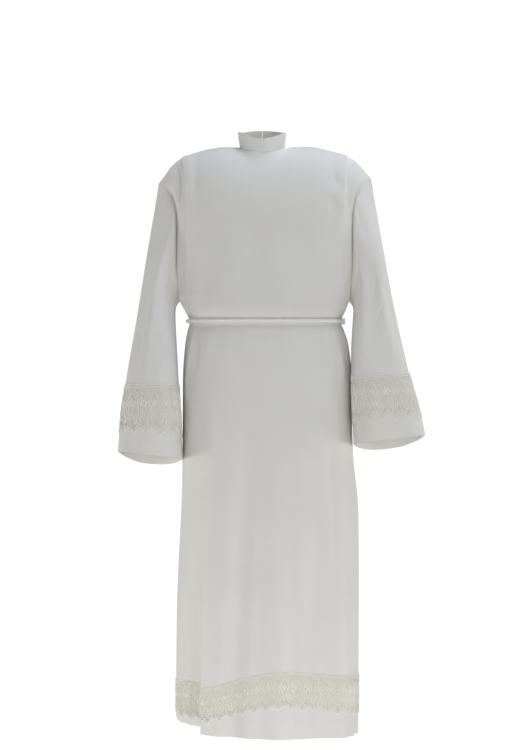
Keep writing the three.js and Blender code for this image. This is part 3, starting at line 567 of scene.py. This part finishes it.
def sleeve_skin(name, side):
    """The sleeve starts on the armhole's edge and eases into its own sections down to the cuff."""
    turn = np.linspace(0, 2 * np.pi, SLEEVE_COLUMNS, endpoint=False)[None, :]
    rest = np.linspace(FIRST_ROWS[-1], 1, SLEEVE_GRID_ROWS - 3)
    along = np.concatenate([FIRST_ROWS[:-1], rest])[:, None]
    points = sleeve_sections(name, side, along, turn)
    edges = armhole_edge(side)
    start = np.zeros((SLEEVE_COLUMNS, 3))
    for k in range(3):
        in_front = np.interp(np.cos(turn[0]), edges["front"][0], edges["front"][1][:, k])
        behind = np.interp(np.cos(turn[0]), edges["back"][0], edges["back"][1][:, k])
        start[:, k] = np.where(turn[0] <= np.pi, in_front, behind)
    share = np.clip(1 - along / VALLEY["along"], 0, 1) ** VALLEY["cusp"]
    valley = valley_depth(start[None, :, 2], 0.0, VALLEY["across"]) * (turn < np.pi)
    start[:, 1] -= valley[0]
    points = points + (start - points[:1]) * (1 - ease(along / SLEEVE_START))[..., None]
    points[..., 1] += valley * share
    out = normals_of(points, side, True)
    high = crease_height(SLEEVE_CREASES[name], along, np.degrees(turn), ALONG_MM, DEGREE_MM)
    high = high * ease(along / SLEEVE_CREASED)
    g = GATHERS
    at_head = swell((along - g["middle"]) / g["wide"]) * ease((np.cos(turn) - g["least"]) / g["over"])
    high = high + g["high"] * np.sin(g["count"] * turn) * at_head
    points = points + out * high[..., None]
    out = normals_of(points, side, True)
    out[-1] = unit(out[-1] * [1, 1, CUFF_LEAN])
    return {"points": points, "out": out, "along": along[:, 0], "closed": True, "facing": side}


def quads(grid):
    """Four-sided faces between the rows and columns of a grid of point numbers."""
    corners = [grid[..., :-1, :-1], grid[..., :-1, 1:], grid[..., 1:, 1:], grid[..., 1:, :-1]]
    return np.stack(corners, -1).reshape(-1, 4)


def wall(points, out, thick, closed):
    """Two skins on a grid, half the thickness to each side, and strips that join them round the edges."""
    rows, cols = points.shape[:2]
    skins = [points + out * thick / 2, points - out * thick / 2]
    place = np.concatenate([skin.reshape(-1, 3) for skin in skins])
    outer = np.arange(rows * cols).reshape(rows, cols)
    if closed:
        outer = np.concatenate([outer, outer[:, :1]], 1)
    inner = outer + rows * cols
    rims = [(inner[0], outer[0]), (outer[-1], inner[-1])]
    if not closed:
        rims += [(outer[:, 0], inner[:, 0]), (inner[:, -1], outer[:, -1])]
    return place, np.concatenate([quads(g) for g in [outer, inner.T] + [np.stack(rim) for rim in rims]])


def make_mesh(name, place, faces, material, slot, uv=None, sharp=50):
    """A mesh object at the origin, in metres, smooth but for its sharp rims, riding on the one body."""
    mesh = bpy.data.meshes.new(name)
    mesh.from_pydata((place * MM).tolist(), [], faces if isinstance(faces, list) else faces.tolist())
    mesh.polygons.foreach_set("use_smooth", np.ones(len(mesh.polygons), bool))
    if uv is not None:
        corners = np.empty(len(mesh.loops), np.int32)
        mesh.loops.foreach_get("vertex_index", corners)
        layer = mesh.uv_layers.new(name="cloth")
        layer.data.foreach_set("uv", uv[corners].astype(np.float32).ravel())
    mesh.set_sharp_from_angle(angle=math.radians(sharp))
    mesh.materials.append(material)
    mesh.validate()
    mesh.update()
    piece = bpy.data.objects.new(name, mesh)
    bpy.context.scene.collection.objects.link(piece)
    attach(piece, "root")
    return piece


def cloth_uv(points):
    """Lengths along the cloth, in metres: across from the grid's middle and down from its upper edge."""
    right = np.linalg.norm(np.diff(points, axis=1), axis=-1)
    across = np.concatenate([np.zeros((len(points), 1)), np.cumsum(right, 1)], 1)
    across -= across[:, across.shape[1] // 2][:, None]
    down = np.linalg.norm(np.diff(points, axis=0), axis=-1)
    drop = np.concatenate([np.zeros((1, points.shape[1])), np.cumsum(down, 0)], 0)
    one = np.stack([across, -drop], -1).reshape(-1, 2) * MM
    return np.concatenate([one, one])


def cloth_piece(name, skin, thick, material, slot):
    """One cut piece of cloth as a thin closed shell, facing out."""
    place, faces = wall(skin["points"], skin["out"], thick, skin["closed"])
    if skin["facing"] < 0:
        faces = faces[:, ::-1]
    return make_mesh(name, place, faces, material, slot, cloth_uv(skin["points"]))


def sample(skin, row, col):
    """Point and outward direction at a fractional row and column of a skin, by bilinear mixing."""
    points, out = skin["points"], skin["out"]
    rows, cols = points.shape[:2]
    r = np.clip(np.floor(row).astype(int), 0, rows - 2)
    c = np.floor(col).astype(int)
    down, right = (row - r)[..., None], (col - c)[..., None]
    if skin["closed"]:
        c, d = c % cols, (c + 1) % cols
    else:
        c = np.clip(c, 0, cols - 2)
        d = c + 1

    def blend(grid):
        return mix(mix(grid[r, c], grid[r, d], right), mix(grid[r + 1, c], grid[r + 1, d], right), down)

    return blend(points), unit(blend(out))


def tubes(lines, outs, radius, sides, closed=False):
    """Tubes along many lines of the same length, shaped (lines, points, 3): a ring of sides at each point,
    turned by the surface's outward direction. Open ends are capped."""
    if closed:
        ahead = np.roll(lines, -1, 1) - np.roll(lines, 1, 1)
    else:
        ahead = np.gradient(lines, axis=1)
    ahead = unit(ahead)
    across = unit(np.cross(ahead, outs))
    up = np.cross(across, ahead)
    turn = np.linspace(0, 2 * np.pi, sides, endpoint=False)[:, None]
    radius = np.asarray(radius, float)
    if radius.ndim:
        radius = radius[..., None, None]
    place = lines[:, :, None] + radius * (np.cos(turn) * up[:, :, None] + np.sin(turn) * across[:, :, None])
    count, steps = lines.shape[:2]
    index = np.arange(count * steps * sides).reshape(count, steps, sides)
    around = np.concatenate([index, index[..., :1]], 2)
    if closed:
        return place.reshape(-1, 3), quads(np.concatenate([around, around[:, :1]], 1)).tolist()
    return place.reshape(-1, 3), quads(around).tolist() + index[:, 0, ::-1].tolist() + index[:, -1].tolist()


def joined(parts):
    """Several (place, faces) meshes as one."""
    places, faces, start = [], [], 0
    for place, part in parts:
        places.append(place)
        faces += [[i + start for i in face] for face in part]
        start += len(place)
    return np.concatenate(places), faces


def srgb(text):
    """An sRGB hex colour as linear RGBA."""
    parts = [int(text[i : i + 2], 16) / 255 for i in (1, 3, 5)]
    return [p / 12.92 if p <= 0.04045 else ((p + 0.055) / 1.055) ** 2.4 for p in parts] + [1.0]


def add(tree, kind, values=None, links=None, **settings):
    """Adds a node with its settings, its sockets' values and the sockets that feed it."""
    node = tree.nodes.new(kind)
    for key, value in settings.items():
        setattr(node, key, value)
    for key, value in (values or {}).items():
        node.inputs[key].default_value = value
    for key, source in (links or {}).items():
        tree.links.new(source, node.inputs[key])
    return node


def new_material(name):
    material = bpy.data.materials.new(name)
    material.use_nodes = True
    material.node_tree.nodes.clear()
    return material, material.node_tree


def threads(tree, place, spacing, distortion, direction):
    """Parallel ridges, this many millimetres apart: Blender's wave has 20 / (2 pi) of them for each unit."""
    values = {"Scale": 2 * math.pi / (20 * spacing * MM), "Distortion": distortion}
    return add(tree, "ShaderNodeTexWave", values, {"Vector": place}, bands_direction=direction).outputs["Fac"]


def two_tones(tree, share, dark, light):
    """A colour between two, by a share from 0 to 1."""
    mixed = add(tree, "ShaderNodeMix", None, {0: share}, data_type="RGBA")
    mixed.inputs[6].default_value = srgb(dark)
    mixed.inputs[7].default_value = srgb(light)
    return mixed.outputs[2]


def cloudy(tree, place, scale, detail, roughness=0.5):
    """Soft clouds of noise, for the uneven tone of yarn."""
    values = {"Scale": scale, "Detail": detail, "Roughness": roughness}
    return add(tree, "ShaderNodeTexNoise", values, {"Vector": place}).outputs["Fac"]


def shaded(tree, colour, height, strength, distance, values):
    """The shader and the output, with a bump of this strength and distance in millimetres."""
    bump = add(tree, "ShaderNodeBump", {"Strength": strength, "Distance": distance * MM}, {"Height": height})
    links = {"Base Color": colour, "Normal": bump.outputs[0]}
    shader = add(tree, "ShaderNodeBsdfPrincipled", values, links)
    add(tree, "ShaderNodeOutputMaterial", None, {"Surface": shader.outputs[0]})


def polyester_crepe():
    """White polyester crepe, woven fine and matt: a faint plain weave, and a slight unevenness of tone that
    comes from the twisted yarn. The threads are drawn 1.3 mm apart, coarser than the real 0.3 mm."""
    material, tree = new_material("polyester_crepe")
    uv = add(tree, "ShaderNodeTexCoord").outputs["UV"]
    warp = threads(tree, uv, 1.3, 0.6, "X")
    weft = threads(tree, uv, 1.3, 0.6, "Y")
    woven = add(tree, "ShaderNodeMath", None, {0: warp, 1: weft}, operation="MULTIPLY").outputs[0]
    slub = cloudy(tree, uv, 90.0, 4.0, 0.6)
    height = add(tree, "ShaderNodeMath", {2: 0.35}, {0: slub, 1: woven}, operation="MULTIPLY_ADD")
    tone = cloudy(tree, uv, 7.0, 3.0, 0.55)
    matt = {"Roughness": 0.82, "Sheen Weight": 0.12, "Sheen Roughness": 0.5, "Specular IOR Level": 0.3}
    shaded(tree, two_tones(tree, tone, "#e9e8e4", "#f2f1ee"), height.outputs[0], 0.10, 0.4, matt)
    return material


def guipure_thread():
    """Corded guipure lace in mercerised thread: cream white, a little glossier than the cloth, wound
    tightly, so each cord has a fine slanting ribbing 1.6 mm apart."""
    material, tree = new_material("guipure_thread")
    place = add(tree, "ShaderNodeTexCoord").outputs["Object"]
    ribs = threads(tree, place, 1.6, 1.5, "DIAGONAL")
    tone = cloudy(tree, place, 60.0, 2.0)
    glossy = {"Roughness": 0.4, "Sheen Weight": 0.3, "Specular IOR Level": 0.65}
    shaded(tree, two_tones(tree, tone, "#fbf9f2", "#fffdf8"), ribs, 0.25, 0.3, glossy)
    return material


def guipure_ground(name, painted_hole_shade, bar):
    """The lace's ground: fine bars of thread that cross at a slant, with painted holes under 4 mm between
    them, whose darker colour is painted shade of the cloth behind. The bars are drawn 3.2 mm apart."""
    material, tree = new_material(name)
    uv = add(tree, "ShaderNodeTexCoord").outputs["UV"]
    slant = {"Rotation": (0, 0, math.radians(45))}
    turned = add(tree, "ShaderNodeMapping", slant, {"Vector": uv}).outputs[0]
    ways = {k: threads(tree, turned, 3.2, 0.4, direction) for k, direction in enumerate("XY")}
    bars = add(tree, "ShaderNodeMath", None, ways, operation="MAXIMUM").outputs[0]
    holes = add(tree, "ShaderNodeMapRange", {1: 0.45, 2: 0.75, 3: 0.0, 4: 1.0}, {0: bars}).outputs[0]
    matt = {"Roughness": 0.75, "Sheen Weight": 0.1, "Specular IOR Level": 0.3}
    # Painted shade: the holes take a darker colour for the cloth in shade behind them
    shaded(tree, two_tones(tree, holes, painted_hole_shade, bar), holes, 0.6, 0.6, matt)
    return material


def twisted_cord():
    """Rayon cord, white with a soft shine: fine yarns 1.2 mm apart run along each strand."""
    material, tree = new_material("twisted_rayon_cord")
    place = add(tree, "ShaderNodeTexCoord").outputs["Object"]
    yarns = threads(tree, place, 1.2, 1.0, "DIAGONAL")
    tone = cloudy(tree, place, 80.0, 2.0)
    shiny = {"Roughness": 0.5, "Sheen Weight": 0.2, "Specular IOR Level": 0.5}
    shaded(tree, two_tones(tree, tone, "#f8f8f6", "#ffffff"), yarns, 0.3, 0.3, shiny)
    return material


def make_camera():
    """A long lens level with the garment's middle, whose frame is 750 pixels high at 2.44 mm each."""
    data = bpy.data.cameras.new("camera")
    data.sensor_width = SENSOR
    data.lens = SENSOR * CAMERA_AWAY / (FRAME_HIGH * MM_PER_PIXEL)
    data.clip_end = 60
    camera = bpy.data.objects.new("camera", data)
    camera.location = (0, -CAMERA_AWAY * MM, CAMERA_HEIGHT * MM)
    camera.rotation_euler = (math.pi / 2, 0, 0)
    bpy.context.scene.collection.objects.link(camera)
    bpy.context.scene.camera = camera


def area_light(name, place, aim, size, power, colour="#ffffff"):
    data = bpy.data.lights.new(name, "AREA")
    data.shape = "RECTANGLE"
    data.size, data.size_y = size
    data.energy = power
    data.color = srgb(colour)[:3]
    light = bpy.data.objects.new(name, data)
    light.location = place
    light.rotation_euler = (Vector(aim) - Vector(place)).to_track_quat("-Z", "Y").to_euler()
    bpy.context.scene.collection.objects.link(light)


def make_studio():
    """A white studio that is bright round the horizon, so that every side view has a white ground, and dim
    above and below. The garment hangs free, with soft lights in front and behind, above and low down."""
    scene = bpy.context.scene
    scene.view_settings.view_transform = "Standard"
    world = bpy.data.worlds.new("studio")
    scene.world = world
    world.use_nodes = True
    tree = world.node_tree
    tree.nodes.clear()
    direction = add(tree, "ShaderNodeTexCoord").outputs["Generated"]
    parts = add(tree, "ShaderNodeSeparateXYZ", None, {0: direction})
    upward = parts.outputs[2]
    above = add(tree, "ShaderNodeMapRange", {1: 0.19, 2: 0.25, 3: 1.06, 4: 0.06}, {0: upward}).outputs[0]
    below = add(tree, "ShaderNodeMapRange", {1: -0.4, 2: -0.2, 3: 0.15, 4: 1.06}, {0: upward}).outputs[0]
    band = add(tree, "ShaderNodeMath", None, {0: above, 1: below}, operation="MINIMUM")
    back = add(tree, "ShaderNodeBackground", {"Color": (1, 1, 1, 1)}, {"Strength": band.outputs[0]})
    add(tree, "ShaderNodeOutputWorld", None, {"Surface": back.outputs[0]})

    for lamp in LAMPS:
        area_light(*lamp)


CREPE = polyester_crepe()
THREAD = guipure_thread()
# Lace grounds whose holes carry painted shade: one copy named shaded for the sleeves and one named light for
# the hem, for the light each lies in
NET = {
    "sleeve": guipure_ground("guipure_ground_shaded", "#dad9cf", "#f0efe6"),
    "hem": guipure_ground("guipure_ground_light", "#d9d9cb", "#f0efe2"),
}
CORD = twisted_cord()


def body_ring(front, back):
    """Front and back as one closed skin: from the wearer's right over the front, and round behind."""
    return {
        "points": np.concatenate([front["points"], back["points"][:, ::-1]], 1),
        "out": np.concatenate([front["out"], back["out"][:, ::-1]], 1),
        "closed": True,
    }


def hem_row(level):
    """For the hem ring: the fractional row at which each column has the named level of the hem tables."""
    values = []
    for face in ("front", "back"):
        across = np.linspace(-1, 1, PANEL_COLUMNS)
        if face == "back":
            across = across[::-1]
        z, hem = (lookup(HEM[face], "across", c, across) for c in (level, "hem"))
        share = (LEVEL_END - z) / (LEVEL_END - hem)
        values.append(SHOULDER_ROWS + BODY_ROWS + share * (HEM_ROWS - 1))
    return np.concatenate(values)


class LaceBand:
    """A strip of lace on a closed skin. Places on it are (repeats along, share of its depth): the share is
    0 at the straight upper edge and 1 at the points."""

    def __init__(self, skin, top_rows, point_rows):
        self.skin, self.top_rows, self.point_rows = skin, top_rows, point_rows
        cols = skin["points"].shape[1]
        middle, _ = sample(skin, (top_rows + point_rows) / 2, np.arange(cols, dtype=float))
        self.run = lengths(middle, True)
        self.count = round(self.run[-1] / LACE_REPEAT)

    def at(self, repeats, depth, lift):
        """Points and outward directions, lifted off the cloth."""
        cols = len(self.top_rows)
        run = (repeats / self.count * self.run[-1]) % self.run[-1]
        col = np.interp(run, self.run, np.arange(cols + 1))
        steps = np.arange(cols + 1)
        top, point = (np.interp(col, steps, np.append(r, r[0])) for r in (self.top_rows, self.point_rows))
        point, out = sample(self.skin, mix(top, point, depth), col)
        return point + out * lift, out


def lower_edge(a):
    """The lace's lower edge, as a share of its depth: a rounded point in each repeat."""
    away = np.abs((a % 1) - 0.5) * 2
    return 1 - 0.13 * away**0.8


def petal(centre, base, tip, wide, points=12):
    """A closed leaf outline: from its base to its tip, wide in the middle, as (repeats, depth) pairs."""
    t = np.linspace(0, 2 * np.pi, points, endpoint=False)
    up = (1 - np.cos(t)) / 2
    side = np.sin(t) * np.sqrt(np.clip(np.sin(np.pi * (0.12 + 0.8 * up)), 0.05, 1))
    return np.stack([centre + side * wide, mix(base, tip, up)], -1)


def leaf(start, end, thick):
    """A solid leaf worked in thread: a short line whose radius swells in the middle."""
    t = np.linspace(0, 1, 6)[:, None]
    radius = thick * (0.35 + 0.65 * np.sin(np.pi * t[:, 0]) ** 0.7)
    return mix(np.array(start), np.array(end), t), False, radius


def motif():
    """One repeat's cords as (places, closed, radius): teardrops with a double outline and a leaf inside, a
    fan of three leaves under an arch between them, a triangle above each teardrop, and a picot under each
    point."""
    t = np.linspace(0, 1, 15)
    arch = np.stack([0.34 * np.cos(t * np.pi), 0.47 - 0.28 * np.sin(t * np.pi) ** 0.9], -1)
    cords = [
        (petal(0.5, 0.80, 0.37, 0.37, points=26), True, 1.05),
        (petal(0.5, 0.75, 0.46, 0.21, points=18), True, 0.85),
        leaf((0.5, 0.71), (0.5, 0.53), 1.5),
        leaf((0.0, 0.47), (0.0, 0.24), 1.7),
        leaf((-0.05, 0.475), (-0.20, 0.32), 1.5),
        leaf((0.05, 0.475), (0.20, 0.32), 1.5),
        (arch, False, 1.0),
        leaf((0.0, 0.82), (0.0, 0.56), 1.0),
        (petal(0.5, 1.005, 0.965, 0.07, points=8), True, 1.0),
        (np.array([(0.39, 0.088), (0.61, 0.088), (0.5, 0.185)]), True, 0.85),
        (np.array([(-0.10, 0.075), (0.0, 0.125), (0.10, 0.075)]), False, 0.7),
    ]
    for a in (0.1, 0.3, 0.5, 0.7, 0.9):
        cords.append((np.array([(a, 0.012), (a, 0.05)]), False, 0.7))
    for a in (0.14, 0.32, 0.68, 0.86):
        cords.append((np.array([(a, 0.80), (a, float(lower_edge(a)) - 0.01)]), False, 0.7))
    return cords


def running_cords():
    """Cords that run all round, as (places in one repeat, radius): two borders and the edge's outlines."""
    a = np.linspace(0, 1, 10, endpoint=False)
    flat = np.linspace(0, 1, 4, endpoint=False)
    return [
        (np.stack([flat, np.full(4, 0.008)], -1), 1.0),
        (np.stack([flat, np.full(4, 0.058)], -1), 0.95),
        (np.stack([a, lower_edge(a) - 0.005], -1), 1.1),
        (np.stack([a, lower_edge(a) - 0.06], -1), 0.85),
    ]


def lace_pieces(name, band, node):
    """The lace: a thin ground cut to points along its lower edge, and the cords wound on it."""
    steps, rows = 10, 18
    a = np.arange(band.count * steps) / steps
    t = np.linspace(0, 1, rows)[:, None] * lower_edge(a)[None, :]
    points, out = band.at(np.broadcast_to(a, t.shape), t, GROUND_LIFT)
    facing = 1 if node == "lace_sleeve_left" else -1
    ground_skin = {"points": points, "out": out, "closed": True, "facing": facing}
    net = NET["hem" if node == "lace_hem" else "sleeve"]
    ground = cloth_piece(name + "_ground", ground_skin, GROUND, net, "lace")
    repeats = np.arange(band.count)[:, None]
    parts = []
    for places, closed, radius in motif():
        depth = np.broadcast_to(places[:, 1], (band.count, len(places)))
        lines, outs = band.at(repeats + places[None, :, 0], depth, CORD_LIFT)
        parts.append(tubes(lines, outs, radius, SIDES["lace"], closed))
    for places, radius in running_cords():
        along = (repeats + places[None, :, 0]).reshape(1, -1)
        depth = np.tile(places[:, 1], band.count)[None, :]
        lines, outs = band.at(along, depth, CORD_LIFT)
        parts.append(tubes(lines, outs, radius, SIDES["lace"], True))
    cords = make_mesh(name + "_cords", *joined(parts), THREAD, "lace", sharp=180)
    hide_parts(node)
    return ground, cords


def collar_piece():
    """The band collar: a rounded strip profile carried round the neck seam, leaning out a little, with its
    two ends meeting at the nape."""
    turn = np.linspace(-np.pi, np.pi, 121)
    seam = neck_points(turn)
    out = neck_out(seam)
    seam[0, 0] -= COLLAR["slit"] / 2
    seam[-1, 0] += COLLAR["slit"] / 2
    half = BAND / 2
    round_top = np.linspace(0, np.pi, 9)
    heights = np.linspace(0.0, COLLAR["height"] - half, 12)
    profile = [(half, h) for h in heights]
    profile += [(half * math.cos(a), COLLAR["height"] - half + half * math.sin(a)) for a in round_top[1:-1]]
    profile += [(-half, h) for h in heights[::-1]]
    profile = np.array(profile)
    up = profile[:, 1] / COLLAR["height"]
    wave = sum(high * np.exp(-(((turn - at) / wide) ** 2)) for high, at, wide in COLLAR_CREASE)
    wave += sum(high * np.sin(count * turn + shift) for high, count, shift in COLLAR_WAVES)
    waved = wave[:, None] * np.sin(np.pi * COLLAR_WAVED * up)[None, :]
    away = profile[None, :, 0] + COLLAR["flare"] * up[None, :] + waved
    points = seam[:, None] + out[:, None] * away[..., None]
    taller = 1 + COLLAR["taller_beside"] / COLLAR["height"] * np.sin(turn) ** 2
    points[..., 2] += profile[None, :, 1] * taller[:, None]
    count, steps = len(turn), len(profile)
    index = np.arange(count * steps).reshape(count, steps)
    faces = quads(np.concatenate([index, index[:, :1]], 1).T).tolist()
    faces += [index[0].tolist(), index[-1, ::-1].tolist()]
    run = lengths(seam)
    uv = np.stack(np.broadcast_arrays(run[:, None], profile[None, :, 1]), -1).reshape(-1, 2) * MM
    piece = make_mesh("band_collar", points.reshape(-1, 3), faces, CREPE, "crepe", uv)
    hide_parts("collar")
    return piece, points


def belt_path(ring, count):
    """The middle of the cord round the waist: the skin's row at the waist, moved out by the cord's radius."""
    row = SHOULDER_ROWS + (CHEST_Z - WAIST_Z) / (CHEST_Z - LEVEL_END) * BODY_ROWS
    cols = ring["points"].shape[1]
    line, out = sample(ring, np.full(cols, row), np.arange(cols, dtype=float))
    run = lengths(line, True)
    at = np.linspace(0, run[-1], count, endpoint=False)
    col = np.interp(at, run, np.arange(cols + 1))
    line, out = sample(ring, np.full(count, row), col)
    out = unit(out * [1, 1, 0])
    middle = line + out * (CLOTH / 2 + BELT["radius"] + BELT["clear"])
    return evened(middle, BELT["evened"], True), out, run[-1]


def belt_pieces(ring):
    """The cord belt: three strands wound about the path, and a small overhand knot at the wearer's left,
    whose middle is the trefoil curve."""
    line, out, length = belt_path(ring, BELT_STEPS)
    up = np.array([0, 0, 1.0])
    turns = round(length / BELT["pitch"])
    parts = []
    for k in range(BELT["strands"]):
        angle = 2 * np.pi * (np.arange(BELT_STEPS) / BELT_STEPS * turns + k / BELT["strands"])[:, None]
        strand = line + BELT["helix"] * (np.cos(angle) * out + np.sin(angle) * up)
        parts.append(tubes(strand[None], out[None], BELT["strand"], SIDES["belt"], True))
    cord = make_mesh("cord_belt", *joined(parts), CORD, "braid", sharp=180)
    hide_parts("cincture")

    k = KNOT
    spot = int(np.argmin(np.linalg.norm(line - [*k["near"], WAIST_Z], axis=1)))
    centre, away = line[spot] + out[spot] * k["lift"], out[spot]
    ahead = unit(np.cross(up, away))
    t = np.linspace(0, 2 * np.pi, KNOT_STEPS, endpoint=False)[:, None]
    sideways = k["flat"] * (np.sin(t) + 2 * np.sin(2 * t)) * ahead
    upward = k["flat"] * (np.cos(t) - 2 * np.cos(2 * t)) * up
    knot = centre + k["size"] * (sideways + upward - k["deep"] * np.sin(3 * t) * away)
    outs = np.broadcast_to(away, knot.shape)
    place, faces = tubes(knot[None], outs[None], k["cord"], SIDES["belt"], True)
    make_mesh("belt_knot", place, faces, CORD, "braid", sharp=180)


def along_line(line, out, spacing, closed):
    """Even places on a line: points, outward directions and the way ahead."""
    if closed:
        line, out = np.concatenate([line, line[:1]]), np.concatenate([out, out[:1]])
    run = lengths(line)
    at = np.arange(spacing / 2, run[-1], spacing)

    def read(values):
        return np.stack([np.interp(at, run, values[:, k]) for k in range(3)], -1)

    points, outs = read(line), unit(read(out))
    ahead = unit(np.stack([np.interp(at + 1, run, line[:, k]) - points[:, k] for k in range(3)], -1) + 1e-6)
    return points, outs, ahead


def stitches(line, out, closed, lift):
    """A row of short stitches: each a thin tube that dips into the cloth at both ends."""
    points, outs, ahead = along_line(line, out, STITCH["spacing"], closed)
    share = np.linspace(-0.5, 0.5, 4)[None, :, None]
    height = np.array([-0.5, 0.25, 0.25, -0.5])[None, :, None] * STITCH["thick"] * 2
    lines = points[:, None] + ahead[:, None] * share * STITCH["long"] + outs[:, None] * (lift + height)
    return tubes(lines, np.broadcast_to(outs[:, None], lines.shape), STITCH["thick"], SIDES["stitch"])


def skin_row(skin, row):
    """A row of a closed skin as a line all round."""
    col = np.arange(skin["points"].shape[1])
    return sample(skin, np.full(len(col), row, float), col)


def seam_edges(front, sleeves):
    """The rolled edge of each seam that shows: armholes, neck, sides below the arms, and shoulders."""
    parts = []
    for skin in sleeves.values():
        parts.append(tubes(skin["points"][:1], skin["out"][1:2], SEAM["armhole"], SIDES["seam"], True))
    neck = neck_points(np.linspace(-np.pi, np.pi, 160, endpoint=False))
    parts.append(tubes(neck[None], neck_out(neck)[None], SEAM["neck"], SIDES["seam"], True))
    for col in (0, PANEL_COLUMNS - 1):
        start = int(np.argmin(np.abs(front["points"][:, col, 2] - ARMPIT_Z)))
        line, out = front["points"][start:, col], front["out"][start:, col]
        parts.append(tubes(line[None], out[None], SEAM["side"], SIDES["seam"]))
    for sign in (-1, 1):
        pick = sign * front["across"] >= NECK_ACROSS
        line, out = front["points"][0, pick], front["out"][0, pick]
        parts.append(tubes(line[None], out[None], SEAM["shoulder"], SIDES["seam"]))
    make_mesh("seam_edges", *joined(parts), CREPE, "crepe", sharp=180)


def stitching(ring, sleeves, collar_points):
    """Rows of stitches above both cuffs' edges and the hem, and along the collar's top and foot."""
    parts = []
    for skin in sleeves.values():
        line, out = skin_row(skin, len(skin["along"]) - 1 - STITCH["cuff_rows"])
        parts.append(stitches(line, out, True, CLOTH / 2))
    line, out = skin_row(ring, SHOULDER_ROWS + BODY_ROWS + HEM_ROWS - 1 - STITCH["hem_rows"])
    parts.append(stitches(line, out, True, CLOTH / 2))
    for level in STITCHED_LEVELS:
        line = collar_points[:, level]
        parts.append(stitches(line, neck_out(line), False, 0.0))
    make_mesh("stitching", *joined(parts), THREAD, "crepe", sharp=180)


def main():
    make_camera()
    make_studio()

    front, back = panel_skin("front"), panel_skin("back")
    ring = body_ring(front, back)
    sleeves = {"right": sleeve_skin("right", -1), "left": sleeve_skin("left", 1)}

    collar, collar_points = collar_piece()
    front_piece = cloth_piece("front_panel", front, CLOTH, CREPE, "crepe")
    back_piece = cloth_piece("back_panel", back, CLOTH, CREPE, "crepe")
    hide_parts("front")
    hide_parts("back")

    hem_lace = LaceBand(ring, hem_row("lace"), hem_row("points"))
    ground, cords = lace_pieces("lace_hem", hem_lace, "lace_hem")
    for name, skin in sleeves.items():
        piece = cloth_piece("sleeve_" + name + "_cloth", skin, CLOTH, CREPE, "crepe")
        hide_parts("sleeve_" + name)
        rows = np.arange(len(skin["along"]), dtype=float)
        top, point = (np.interp(CUFF_LACE[k], skin["along"], rows) for k in ("top", "point"))
        cols = np.ones(SLEEVE_COLUMNS)
        node = "lace_sleeve_" + name
        ground, cords = lace_pieces(node, LaceBand(skin, cols * top, cols * point), node)
    belt_pieces(ring)
    seam_edges(front, sleeves)
    stitching(ring, sleeves, collar_points)


main()
